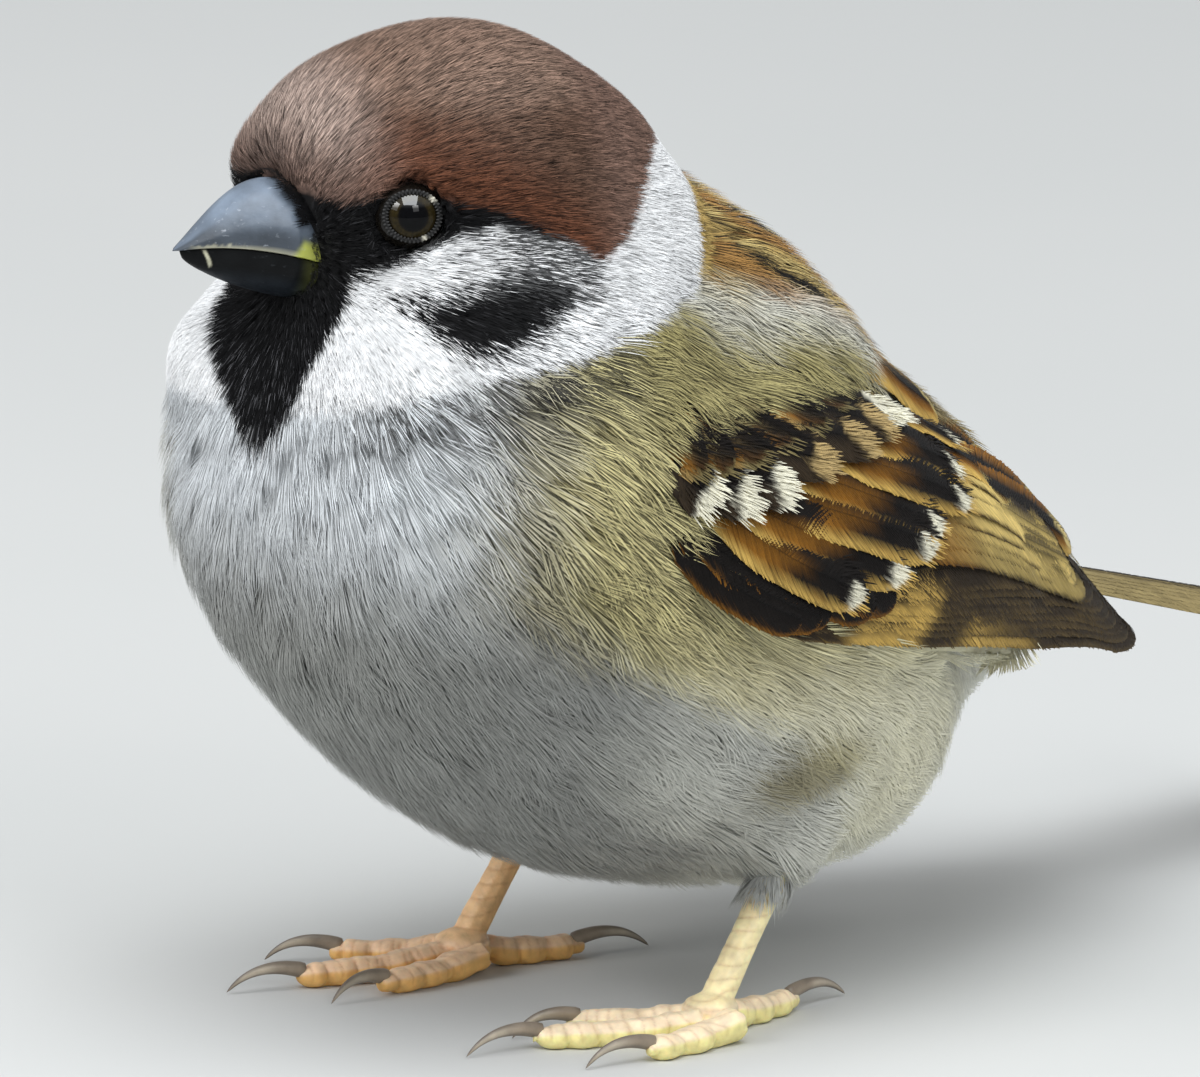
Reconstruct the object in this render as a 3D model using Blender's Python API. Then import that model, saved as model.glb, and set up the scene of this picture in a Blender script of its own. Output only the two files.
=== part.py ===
"""Eurasian tree sparrow, life size and still, standing with its head turned to its right.

Frame: metres, +Z up, the floor at z = 0. The bird faces -Y, and its own left is +X.
Named sizes are in millimetres, and every mesh is written in metres. The solids hold the
outline of the plumage out to the tips of the feathers.

The head, neck, trunk and feathered thighs share one smooth body surface, which is the
blend of a few rounded lobes. Thin flat cuts part them.
"""

import math

import bmesh
import bpy
import numpy as np
from mathutils import Matrix, Vector

MM = 0.001  # every size below is in millimetres
CENTRING = Vector((0.43, -22.08, 0.0))  # brings the middle of the bird's box over the origin
GAP = 0.3  # clearance between neighbouring pieces
SHARP_ANGLE = math.radians(50.0)  # edges that turn more than this stay crisp

# Driving dimensions of the bird
HEAD_CENTRE = Vector((0.0, -16.4, 62.0))
HEAD_TURN = math.radians(18.0)  # towards the bird's right
HEAD_LIFT = math.radians(3.0)  # bill raised
BLEND = 2.6  # how softly the lobes of the body flow together
BILL_ROOT = 9.5  # forward from the head's centre, hidden under the feathers
BILL_BASE = 14.3  # where the culmen leaves the feathers
BILL_TIP = 22.6
LOWER_BILL_TIP = 22.0
BILL_HALF_WIDTH = 4.3
UPPER_BILL_DEPTH = 4.9
LOWER_BILL_DEPTH = 3.4
EYE_RADIUS = 2.75
EYE_PLACE = Vector((7.6, 9.3, 3.4))  # forward, left and up from the head's centre
WING_THICKNESS = 4.6
TAIL_LENGTH = 42.0  # the part that shows behind the coverts
TAIL_ROOT = Vector((0, 42.0, 26.8))
TAIL_SLOPE = math.radians(15.0)
TAIL_ARCH = 1.9  # how far the outer edges hang below the middle
TAIL_NOTCH = 2.6
TAIL_HALF_WIDTH = 7.0
TOE_RADIUS = 1.0
PAD_RADIUS = 2.3
TARSUS_RADIUS = 1.1
FLAT_DEPTH = 0.14  # how far each toe pad is flattened on the floor

# Lobes of the body: centre, half sizes across, along and up, and the dip of the rear in degrees
BODY_LOBES = {
    "belly": ((0, 0.5, 29.8), (23.4, 27.1, 19.2), 12),
    "breast": ((0, -15.7, 43.3), (23.6, 19.4, 20.2), 6),
    "mantle": ((0, 7.1, 46.7), (15.3, 22.5, 14.4), 36),
    "rump": ((0, 27.6, 32.1), (10.8, 19.3, 12.1), 32),
    "vent": ((0, 17.3, 19.1), (14.9, 16.6, 11.4), 0),
    "tail_coverts": ((0, 45.0, 25.4), (5.6, 13.0, 4.2), 18),
    "hindneck": ((0, -6.7, 57.2), (12.1, 9.8, 12.7), 30),
}
# Lobes of the head, in its own frame: forward, left and up from the head's centre
HEAD_LOBES = {
    "cranium": ((-1.0, 0, 4.6), (12.0, 12.0, 11.2)),
    "forehead": ((5.2, 0, 4.6), (8.3, 10.4, 5.6)),
    "left_cheek": ((-0.7, 7.6, -6.6), (9.3, 5.4, 8.2)),
    "right_cheek": ((-0.7, -7.6, -6.6), (9.3, 5.4, 8.2)),
    "throat": ((0.8, 0, -10.5), (7.2, 8.7, 7.2)),
}

# Flat cuts that part the body: a point on the cut, and the way the front side faces
HEAD_CUT = (Vector((0, -14.0, 53.5)), Vector((-0.15, -0.50, 0.86)))
NECK_CUT = (Vector((0, -10.0, 47.0)), Vector((-0.08, -0.42, 0.90)))

# The floor, held half a gap low so that what keep_side keeps ends at z = 0
FLOOR_CUT = (Vector((0, 0, -GAP / 2)), Vector((0, 0, 1)))

# The folded left wing: the middle of each section from the shoulder to the tip, the way
# from its lower to its upper edge, half its width and its share of WING_THICKNESS
WING_STATIONS = [
    ((19.8, -14.5, 46.6), (-0.36, -0.10, 0.93), 5.0, 0.60),
    ((21.0, -10.5, 45.4), (-0.40, -0.06, 0.91), 9.0, 0.85),
    ((21.5, -3.0, 43.0), (-0.43, 0.00, 0.90), 11.7, 1.0),
    ((20.7, 8.0, 39.8), (-0.47, 0.10, 0.88), 11.8, 1.0),
    ((18.0, 20.5, 35.8), (-0.52, 0.24, 0.82), 11.2, 0.95),
    ((14.2, 31.5, 31.0), (-0.58, 0.34, 0.74), 9.4, 0.82),
    ((10.8, 41.0, 26.8), (-0.60, 0.40, 0.69), 6.6, 0.62),
    ((8.4, 47.5, 23.5), (-0.58, 0.42, 0.70), 4.3, 0.46),
    ((6.2, 53.5, 20.6), (-0.56, 0.42, 0.71), 1.6, 0.32),
]
# Where thin cuts part the wing, as a share of its length from the shoulder
WING_PARTS = {
    "coverts": (-0.2, 0.335),
    "secondaries": (0.335, 0.66),
    "primaries": (0.66, 1.2),
}

# Each foot: the middle of its pad, its heel joint, and for each toe the floor points where
# it leaves the pad, where it ends and where its claw ends
LEFT_FOOT = {
    "pad": (14.0, -1.8),
    "heel": (13.2, 6.6, 11.6),
    "toes": {
        "inner": ((12.0, -3.0), (5.8, -8.4), (4.2, -12.9)),
        "middle": ((14.0, -4.7), (7.2, -13.9), (5.6, -19.4)),
        "outer": ((16.6, -3.2), (16.3, -11.0), (14.6, -16.0)),
        "hind": ((13.8, 0.8), (13.2, 8.2), (12.9, 14.2)),
    },
}
RIGHT_FOOT = {
    "pad": (-13.8, 0.6),
    "heel": (-13.2, 8.2, 11.6),
    "toes": {
        "inner": ((-11.9, -0.9), (-12.6, -9.4), (-13.2, -14.2)),
        "middle": ((-14.6, -2.2), (-18.9, -12.2), (-21.4, -17.0)),
        "outer": ((-16.6, -0.4), (-22.4, -4.4), (-26.4, -7.6)),
        "hind": ((-13.0, 3.2), (-10.2, 9.8), (-8.4, 15.4)),
    },
}

COLOURS = {
    "chestnut": (0.16, 0.065, 0.04, 1),
    "white": (0.80, 0.80, 0.80, 1),
    "breast": (0.55, 0.53, 0.48, 1),
    "buff": (0.42, 0.31, 0.14, 1),
    "rufous": (0.25, 0.11, 0.03, 1),
    "dark_brown": (0.06, 0.045, 0.035, 1),
    "bill": (0.05, 0.055, 0.07, 1),
    "eye": (0.012, 0.009, 0.006, 1),
    "foot": (0.55, 0.36, 0.16, 1),
    "claw": (0.16, 0.12, 0.09, 1),
}


def clear_scene():
    for obj in list(bpy.data.objects):
        bpy.data.objects.remove(obj)


def material(name, roughness=0.8):
    """The named colour as a Principled material, made once."""
    found = bpy.data.materials.get(name)
    if found:
        return found
    made = bpy.data.materials.new(name)
    made.use_nodes = True
    shader = made.node_tree.nodes["Principled BSDF"]
    shader.inputs["Base Color"].default_value = COLOURS[name]
    shader.inputs["Roughness"].default_value = roughness
    shader.inputs["Metallic"].default_value = 0.0
    return made


def add_object(name, mesh_data, colour, roughness=0.8):
    """Links a bmesh in millimetres as a named object in metres, centred, with outward faces."""
    bmesh.ops.recalc_face_normals(mesh_data, faces=mesh_data.faces)
    bmesh.ops.translate(mesh_data, vec=CENTRING, verts=mesh_data.verts)
    bmesh.ops.scale(mesh_data, vec=Vector((MM, MM, MM)), verts=mesh_data.verts)
    mesh = bpy.data.meshes.new(name)
    mesh_data.to_mesh(mesh)
    mesh_data.free()
    mesh.shade_smooth()
    mesh.set_sharp_from_angle(angle=SHARP_ANGLE)
    mesh.materials.append(material(colour, roughness))
    obj = bpy.data.objects.new(name, mesh)
    bpy.context.scene.collection.objects.link(obj)
    return obj


def head_matrix():
    """From the head's own frame (forward, left, up) to the bird's."""
    turn = Matrix.Rotation(-HEAD_TURN, 4, "Z")
    axes = Matrix(((0, 1, 0, 0), (-1, 0, 0, 0), (0, 0, 1, 0), (0, 0, 0, 1)))
    lift = Matrix.Rotation(-HEAD_LIFT, 4, "Y")
    return Matrix.Translation(HEAD_CENTRE) @ turn @ axes @ lift


def lobe_frames():
    """(inverse rotation, centre, half sizes) of every lobe, as arrays."""
    frames = []
    for centre, half_sizes, dip in BODY_LOBES.values():
        turned = np.array(Matrix.Rotation(-math.radians(dip), 3, "X"))
        frames.append((turned.T, np.array(centre, float), np.array(half_sizes, float)))
    placed = head_matrix()
    turned = np.array(placed.to_3x3())
    for centre, half_sizes in HEAD_LOBES.values():
        middle = np.array(placed @ Vector(centre))
        frames.append((turned.T, middle, np.array(half_sizes, float)))
    return frames


LOBE_FRAMES = lobe_frames()
FACE_CENTRE = head_matrix() @ Vector((2.0, 0.0, 0.0))
TRUNK_CENTRE = Vector((0, 2.0, 33.0))
NECK_CENTRE = Vector((0, -10.0, 52.0))
RUMP_CENTRE = Vector((0, 34.0, 28.0))


def body_distance(points):
    """Roughly how far each point is outside the body surface: a soft union of the lobes."""
    total = np.zeros(len(points))
    for inverse, centre, half_sizes in LOBE_FRAMES:
        local = (points - centre) @ inverse.T
        near = np.linalg.norm(local / half_sizes, axis=1)
        slope = np.linalg.norm(local / half_sizes**2, axis=1)
        total += np.exp(-near * (near - 1.0) / np.maximum(slope, 1e-9) / BLEND)
    return -BLEND * np.log(total)


def surface_radius(centre, directions, grow=0.0, reach=90.0):
    """How far the body surface, grown by a clearance, is from centre in each direction."""
    low, high = np.zeros(len(directions)), np.full(len(directions), reach)
    for _ in range(36):
        middle = (low + high) / 2
        outside = body_distance(centre + directions * middle[:, None]) > grow
        high = np.where(outside, middle, high)
        low = np.where(outside, low, middle)
    return low


def body_ball(centre, around, along, grow=0.0):
    """A ball of quads, its poles along Y, pushed out from centre onto the body surface."""
    ball = bmesh.new()
    bmesh.ops.create_uvsphere(ball, u_segments=around, v_segments=along, radius=1.0)
    bmesh.ops.rotate(ball, matrix=Matrix.Rotation(math.pi / 2, 3, "X"), verts=ball.verts)
    ball.verts.ensure_lookup_table()
    directions = np.array([v.co.normalized() for v in ball.verts])
    centre = np.array(centre, float)
    radii = surface_radius(centre, directions, grow)
    for vert, place in zip(ball.verts, centre + directions * radii[:, None]):
        vert.co = Vector(place)
    return ball


def keep_side(mesh_data, cut, front):
    """Keeps the front or the back of a flat cut, half a gap away from it, and closes it."""
    point, facing = cut
    facing = facing.normalized()
    away = facing if front else -facing
    found = bmesh.ops.bisect_plane(
        mesh_data,
        geom=[*mesh_data.verts, *mesh_data.edges, *mesh_data.faces],
        plane_co=point + away * (GAP / 2),
        plane_no=away,
        clear_inner=True,
    )
    edges = [g for g in found["geom_cut"] if isinstance(g, bmesh.types.BMEdge)]
    bmesh.ops.holes_fill(mesh_data, edges=edges)


def cutter(name, mesh_data):
    """A hidden body that only cuts others."""
    obj = add_object(name, mesh_data, "white")
    obj.hide_render = True
    obj.display_type = "WIRE"
    return obj


def subtract(obj, *tools):
    for tool in tools:
        cut = obj.modifiers.new("cut_" + tool.name, "BOOLEAN")
        cut.operation = "DIFFERENCE"
        cut.solver = "EXACT"
        cut.object = tool


def loft(sections):
    """A closed body through rings of equal length, with flat ends."""
    body = bmesh.new()
    rings = [[body.verts.new(p) for p in section] for section in sections]
    for ring, following in zip(rings, rings[1:]):
        for i, vert in enumerate(ring):
            j = (i + 1) % len(ring)
            body.faces.new((vert, ring[j], following[j], following[i]))
    body.faces.new(rings[0])
    body.faces.new(rings[-1])
    return body


def smooth_path(points, steps):
    """Points on a smooth curve through the given ones (Catmull-Rom)."""
    ends = [2 * points[0] - points[1], *points, 2 * points[-1] - points[-2]]
    path = []
    for i in range(steps + 1):
        at = i / steps * (len(points) - 1)
        k = min(int(at), len(points) - 2)
        a, b, c, d = ends[k : k + 4]
        t = at - k
        linear = (c - a) * t
        square = (2 * a - 5 * b + 4 * c - d) * t**2
        cube = (3 * (b - c) + d - a) * t**3
        path.append(0.5 * (2 * b + linear + square + cube))
    return path


def tube(points, radii, sides, flatness=1.0):
    """A tube along the points. Each radius is across, and flatness is its height against that."""
    sections = []
    for i, (point, radius) in enumerate(zip(points, radii)):
        ahead = points[min(i + 1, len(points) - 1)] - points[max(i - 1, 0)]
        across = ahead.cross(Vector((0, 0, 1))).normalized()
        rise = across.cross(ahead).normalized()
        ring = []
        for k in range(sides):
            angle = math.tau * (k + 0.5) / sides
            sideways = across * radius * math.cos(angle)
            ring.append(point + sideways + rise * radius * flatness * math.sin(angle))
        sections.append(ring)
    return loft(sections)


def build_flesh():
    """Head, neck and trunk, parted from one surface by two flat cuts."""
    head = body_ball(FACE_CENTRE, 32, 20)
    keep_side(head, HEAD_CUT, front=True)
    head = add_object("head", head, "chestnut")

    neck = body_ball(NECK_CENTRE, 32, 20)
    keep_side(neck, HEAD_CUT, front=False)
    keep_side(neck, NECK_CUT, front=True)
    add_object("neck", neck, "white")

    trunk = body_ball(TRUNK_CENTRE, 36, 26)
    keep_side(trunk, NECK_CUT, front=False)
    return head, add_object("trunk", trunk, "breast")


def build_eye(name, side, head):
    """One eyeball, in a socket cut into the head."""
    local = Vector((EYE_PLACE.x, side * EYE_PLACE.y, EYE_PLACE.z))
    placed = Matrix.Translation(head_matrix() @ local)
    socket = bmesh.new()
    bmesh.ops.create_uvsphere(socket, u_segments=16, v_segments=10, radius=EYE_RADIUS + GAP, matrix=placed)
    subtract(head, cutter(name + "_socket", socket))
    ball = bmesh.new()
    bmesh.ops.create_uvsphere(ball, u_segments=14, v_segments=9, radius=EYE_RADIUS, matrix=placed)
    add_object(name, ball, "eye", 0.05)


def seam_height(forward):
    """Height of the line where the halves of the bill meet. It is low at the gape and the tip."""
    crest, gape, tip = 18.9, 11.9, BILL_TIP
    if forward < crest:
        return 0.05 - 1.2 * ((crest - forward) / (crest - gape)) ** 2
    return 0.05 - 0.5 * ((forward - crest) / (tip - crest)) ** 2


def bill_section(forward, upper):
    """Half of the bill's cross-section, from its left edge over the ridge to its right edge."""
    tip = BILL_TIP if upper else LOWER_BILL_TIP
    taper = min(max((tip - forward) / (tip - BILL_BASE), 0.0), 1.0)
    swell = math.sin(taper * math.pi / 2)
    half_width = BILL_HALF_WIDTH * taper**0.8 + 0.12
    if upper:
        height = UPPER_BILL_DEPTH * swell**1.2 + 0.12
    else:
        half_width *= 0.94
        height = -(LOWER_BILL_DEPTH * swell**0.65 + 0.10)
    edge = seam_height(forward) + (GAP / 2 if upper else -GAP / 2)
    points = []
    for k in range(8):
        angle = math.pi * k / 7
        rise = height * math.sin(angle) ** 0.85
        points.append(Vector((forward, half_width * math.cos(angle), edge + rise)))
    return points


def build_bill(head_shape):
    """The upper and lower halves of the bill, fitted to the front of the head."""
    placed = head_matrix()
    steps = 8
    for name, upper, tip in (("bill_upper", True, BILL_TIP), ("bill_lower", False, LOWER_BILL_TIP)):
        sections = []
        for i in range(steps + 1):
            forward = BILL_ROOT + (tip - BILL_ROOT) * (i / steps) ** 0.8
            sections.append([placed @ p for p in bill_section(forward, upper)])
        half = add_object(name, loft(sections), "bill", 0.35)
        subtract(half, head_shape)


def wing_frame(side):
    """Smooth arrays of the wing's stations: middle, edge direction, half width, thickness."""
    steps = 18
    middles = smooth_path([Vector(s[0]) for s in WING_STATIONS], steps)
    edges = smooth_path([Vector(s[1]).normalized() for s in WING_STATIONS], steps)
    sizes = smooth_path([Vector((s[2], s[3], 0)) for s in WING_STATIONS], steps)
    for vector in (*middles, *edges):
        vector.x *= side
    return middles, edges, sizes


def wing_sections(side):
    """Curved lens sections of a folded wing, from the shoulder to the tip."""
    middles, edges, sizes = wing_frame(side)
    sections = []
    for i, (middle, edge, size) in enumerate(zip(middles, edges, sizes)):
        ahead = (middles[min(i + 1, len(middles) - 1)] - middles[max(i - 1, 0)]).normalized()
        out = ahead.cross(edge).normalized() * side
        rise = out.cross(ahead).normalized() * side
        half_width, thickness = size.x, size.y * WING_THICKNESS
        bow = 0.016 * half_width**2  # the wing wraps the body
        inner = 1.0 + 2.0 * min(max((0.72 - i / len(middles)) / 0.2, 0.0), 1.0)  # rooted in the body
        ring = []
        for k in range(14):
            angle = math.tau * k / 14
            across = math.cos(angle)
            lift = math.sin(angle)
            depth = thickness * 0.5 * lift * (1.0 if lift > 0 else inner)
            ring.append(middle + rise * half_width * across + out * (depth - bow * across**2))
        sections.append(ring)
    return sections


def build_wing(label, side, body_shape, tail_shape):
    """One folded wing, fitted over the body and parted by thin cuts across it."""
    middles = wing_frame(side)[0]
    start, end = middles[0], middles[-1]
    along = (end - start).normalized()
    colours = {"coverts": "rufous", "secondaries": "buff", "primaries": "dark_brown"}
    for part, (first, last) in WING_PARTS.items():
        piece = loft(wing_sections(side))
        bmesh.ops.recalc_face_normals(piece, faces=piece.faces)
        keep_side(piece, (start.lerp(end, first), along), front=True)
        keep_side(piece, (start.lerp(end, last), along), front=False)
        wing = add_object(f"wing_{label}_{part}", piece, colours[part])
        subtract(wing, body_shape, *([tail_shape] if part == "primaries" else []))


def tail_blade(grow=0.0):
    """The closed tail as a thin, slightly arched blade with a shallow notch."""
    along = Vector((0, math.cos(TAIL_SLOPE), -math.sin(TAIL_SLOPE)))
    rise = Vector((0, math.sin(TAIL_SLOPE), math.cos(TAIL_SLOPE)))
    sections = []
    steps = 8
    for i in range(steps + 1):
        share = i / steps
        half_width = TAIL_HALF_WIDTH * (0.80 + 0.28 * share) + grow
        thickness = 2.8 - 1.7 * share + 2 * grow
        ring = []
        for k in range(16):
            angle = math.tau * k / 16
            across = math.cos(angle)
            notch = TAIL_NOTCH * (1 - abs(across)) * share**6
            lift = thickness / 2 * math.sin(angle) - TAIL_ARCH * across**2
            place = TAIL_ROOT + along * (TAIL_LENGTH * share - notch)
            ring.append(place + Vector((half_width * across, 0, 0)) + rise * lift)
        sections.append(ring)
    return loft(sections)


def build_tail(rump_shape):
    tail = add_object("tail", tail_blade(), "dark_brown")
    subtract(tail, rump_shape)


def build_toe(name, start, end, claw_tip, pad):
    """One toe with its pads on the floor, and the curved claw beyond it."""
    start, end, claw_tip = (Vector((*point, 0)) for point in (start, end, claw_tip))
    height = TOE_RADIUS - FLAT_DEPTH
    raised = Vector((0, 0, height))
    inside = start + (start - end).normalized() * 1.2 + Vector((0, 0, height + 0.6))
    steps = 9
    path = smooth_path([inside, start.lerp(end, 0.35) + raised, end + raised], steps)
    pads = max(2, round((end - start).length / 3.2))
    radii = []
    for i in range(steps + 1):
        share = i / steps
        pad_swell = 0.10 * math.cos(math.tau * pads * share)
        end_round = math.sqrt(max(1 - max(share - 0.93, 0) / 0.075, 0.1))
        radii.append(TOE_RADIUS * (1.02 - 0.12 * share + pad_swell) * end_round)
    toe = tube(path, radii, 8)
    keep_side(toe, FLOOR_CUT, front=True)
    toe = add_object(name, toe, "foot", 0.5)
    subtract(toe, pad)

    heading = (claw_tip - end).normalized()
    clear = GAP + 0.25  # beyond the round end of the toe
    length = (claw_tip - end).length - clear
    path, radii = [], []
    steps = 6
    for i in range(steps + 1):
        share = i / steps
        arch = 1.35 + 0.75 * math.sin(math.pi * min(share * 1.05, 1)) - 1.12 * share**1.6
        path.append(end + heading * (clear + length * share) + Vector((0, 0, arch)))
        radii.append(0.62 * (1 - share) ** 0.75 + 0.16)
    add_object(name.replace("toe", "claw"), tube(path, radii, 6, 1.25), "claw", 0.3)


def pad_ball(middle, grow=0.0):
    """The rounded pad where the toes and the shank meet."""
    ball = bmesh.new()
    bmesh.ops.create_uvsphere(ball, u_segments=12, v_segments=8, radius=1.0)
    radius = PAD_RADIUS + grow
    bmesh.ops.scale(ball, vec=Vector((radius, radius, PAD_RADIUS * 0.72 + grow)), verts=ball.verts)
    bmesh.ops.translate(ball, vec=Vector((*middle, PAD_RADIUS * 0.72 - FLAT_DEPTH)), verts=ball.verts)
    return ball


def build_leg(label, side, foot, body_shape):
    """Feathered thigh, bare tarsus, foot pad, and four toes with their claws."""
    heel = Vector(foot["heel"])
    ankle = Vector((*foot["pad"], PAD_RADIUS * 0.8))

    inside = heel + Vector((-side * 0.8, 6.5, 11.0))
    path = smooth_path([inside, heel.lerp(inside, 0.45), heel], 8)
    radii = [6.2, 6.0, 5.6, 5.1, 4.5, 3.9, 3.2, 2.5, 1.8]
    thigh = add_object("thigh_" + label, tube(path, radii, 16), "breast")
    subtract(thigh, body_shape)

    sole = pad_ball(foot["pad"])
    keep_side(sole, FLOOR_CUT, front=True)
    add_object("foot_" + label, sole, "foot", 0.5)
    pad = cutter("foot_clearance_" + label, pad_ball(foot["pad"], grow=GAP))

    toward_foot = (ankle - heel).normalized()
    path = smooth_path([heel + toward_foot * GAP, heel.lerp(ankle, 0.5), ankle], 6)
    radii = [TARSUS_RADIUS * (0.95 + 0.55 * abs(i / 6 - 0.45) ** 1.6) for i in range(7)]  # waisted
    tarsus = add_object("tarsus_" + label, tube(path, radii, 10, 0.85), "foot", 0.5)
    subtract(tarsus, pad)

    for toe, points in foot["toes"].items():
        build_toe(f"toe_{label}_{toe}", *points, pad)


def main():
    clear_scene()
    head, trunk = build_flesh()
    body_shape = cutter("body_clearance", body_ball(TRUNK_CENTRE, 40, 29, grow=GAP))
    tail_shape = cutter("tail_clearance", tail_blade(grow=GAP))
    build_bill(cutter("face_clearance", body_ball(FACE_CENTRE, 44, 28, grow=GAP)))
    for label, side, foot in (("left", 1, LEFT_FOOT), ("right", -1, RIGHT_FOOT)):
        build_eye("eye_" + label, side, head)
        build_wing(label, side, body_shape, tail_shape)
        build_leg(label, side, foot, body_shape)
    build_tail(cutter("rump_clearance", body_ball(RUMP_CENTRE, 28, 20, grow=GAP)))


main()
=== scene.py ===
"""The looks of a life-size Eurasian tree sparrow, standing with its head turned to its right.

Every place below is in the bird's own millimetres: it faces -Y, its left is +X and the floor
is z = 0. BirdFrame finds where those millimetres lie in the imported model. The head has a frame
of its own: forward, left and up from the middle of the skull.
"""

import itertools
import logging
import math
from collections.abc import Callable, Iterable
from dataclasses import dataclass, field, replace
from enum import Enum

import bmesh
import bpy
import numpy as np
from bmesh.types import BMesh
from bpy.types import Material, Mesh, Node, NodeSocket, Object
from mathutils import Matrix, Vector
from mathutils.bvhtree import BVHTree
from mathutils.kdtree import KDTree


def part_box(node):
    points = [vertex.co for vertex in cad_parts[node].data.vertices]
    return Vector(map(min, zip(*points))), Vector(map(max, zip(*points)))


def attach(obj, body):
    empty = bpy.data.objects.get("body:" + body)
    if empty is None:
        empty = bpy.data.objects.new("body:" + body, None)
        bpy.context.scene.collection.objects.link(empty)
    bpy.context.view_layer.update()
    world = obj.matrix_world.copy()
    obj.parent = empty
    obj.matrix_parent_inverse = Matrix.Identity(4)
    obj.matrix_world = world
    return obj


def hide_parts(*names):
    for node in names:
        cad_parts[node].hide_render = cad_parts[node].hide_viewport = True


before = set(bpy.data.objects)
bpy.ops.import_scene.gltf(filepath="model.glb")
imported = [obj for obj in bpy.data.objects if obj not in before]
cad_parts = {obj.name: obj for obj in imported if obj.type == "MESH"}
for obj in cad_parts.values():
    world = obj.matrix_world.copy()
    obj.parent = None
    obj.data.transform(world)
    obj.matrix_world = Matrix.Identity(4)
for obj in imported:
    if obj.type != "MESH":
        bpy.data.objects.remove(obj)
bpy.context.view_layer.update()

MM = 0.001
# in the head's frame: where the feathers start to part round the bill
BILL_ROOT = (13.0, 0.0, -0.5)
LOG = logging.getLogger("sparrow")

Array = np.ndarray
Rng = np.random.Generator
# which of some points are wanted, or which way they lie, from their places and normals
Judge = Callable[[Array, Array], Array]
# colours from places, chances and places on the tuft
Painter = Callable[[Array, Array, Array], Array]


class Tint(Enum):
    """Named colours of plumage, horn and skin, as they look in even light, except those named for painted
    shade or painted sheen.
    """

    CROWN_TOP = (115, 88, 73)
    CREST_SHEEN = (152, 125, 109)
    FOREHEAD_SHEEN = (208, 186, 174)
    CROWN_SIDE = (112, 70, 50)
    CROWN_BACK = (136, 108, 95)
    BLACK = (11, 11, 13)
    WHITE = (246, 247, 248)
    COLLAR_SHADE = (226, 230, 234)
    BREAST = (216, 220, 223)
    BELLY_AND_SHADE = (152, 153, 149)
    VENT = (238, 238, 226)
    OLIVE = (224, 213, 152)
    OLIVE_SHADE = (150, 140, 100)
    DUSKY = (60, 58, 54)
    SHOULDER = (176, 166, 114)
    SHOULDER_TOP = (222, 220, 206)
    MANTLE = (192, 164, 100)
    MANTLE_RUFOUS = (160, 104, 48)
    RUMP = (150, 134, 92)
    WING_BLACK = (24, 20, 18)
    WING_BROWN = (52, 42, 30)
    RUFOUS = (138, 92, 30)
    BUFF = (208, 172, 92)
    CREAM = (190, 164, 112)
    PANEL = (230, 202, 124)
    FEATHER_EDGE = (92, 76, 48)
    PALE_BUFF = (212, 192, 130)
    TIP_WHITE = (240, 236, 214)

    @property
    def linear(self) -> Array:
        """The colour as linear light."""
        share = np.array(self.value, float) / 255
        return np.where(share <= 0.04045, share / 12.92, ((share + 0.055) / 1.055) ** 2.4)


def smooth_step(values: Array, width: float) -> Array:
    """A soft threshold at nought.

    Args:
        values: signed distances in millimetres.
        width: how wide the change is.

    Returns:
        0 well below nought, 1 well above it.
    """
    share = np.clip(values / width + 0.5, 0, 1)
    return share * share * (3 - 2 * share)


def plain(colour: Array | Tint, points: Array) -> Array:
    """One colour for each of some points."""
    return np.tile(colour.linear if isinstance(colour, Tint) else colour, (len(points), 1))


def mix(first: Array, second: Array | Tint, amount: Array) -> Array:
    """Colours part of the way from the first to the second."""
    second = second.linear if isinstance(second, Tint) else second
    return first + (second - first) * np.asarray(amount)[..., None]


def unit(vectors: Array) -> Array:
    """The vectors at length one."""
    return vectors / np.maximum(np.linalg.norm(vectors, axis=-1, keepdims=True), 1e-9)


@dataclass
class BirdFrame:
    """Where the bird's own millimetres and its head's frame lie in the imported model.

    The eyes tell how far the head is turned and where its middle is.
    """

    head_middle: tuple = (0.0, -16.4, 62.0)
    eye_place: tuple = (7.6, 9.3, 3.4)
    lift: float = math.radians(3.0)
    origin: Vector = field(init=False)
    head: Matrix = field(init=False)

    def __post_init__(self) -> None:
        """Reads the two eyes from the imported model."""
        left, right = (sum(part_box(f"eye_{side}"), Vector()) / (2 * MM) for side in ("left", "right"))
        across = (left - right).normalized()
        level = Vector((across.y, -across.x, 0.0))
        forward = level * math.cos(self.lift) + Vector((0, 0, math.sin(self.lift)))
        up = forward.cross(across)
        eye_middle = (left + right) / 2
        middle = eye_middle - forward * self.eye_place[0] - up * self.eye_place[2]
        self.origin = middle - Vector(self.head_middle)
        self.head = Matrix((forward, across, up)).transposed().to_4x4()
        self.head.translation = Vector(self.head_middle)

    def to_row(self, points: Array) -> Array:
        """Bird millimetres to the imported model's metres."""
        return (points + np.array(self.origin)) * MM

    def from_row(self, points: Array) -> Array:
        """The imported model's metres to bird millimetres."""
        return points / MM - np.array(self.origin)

    def from_head(self, points: Array) -> Array:
        """Head frame to bird millimetres."""
        return np.asarray(points, float) @ np.array(self.head.to_3x3()).T + np.array(self.head.translation)

    def to_head(self, points: Array) -> Array:
        """Bird millimetres to the head's forward, left and up."""
        return (points - np.array(self.head.translation)) @ np.array(self.head.to_3x3())


BIRD = BirdFrame()


# ---------------------------------------------------------------- mesh helpers


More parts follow.
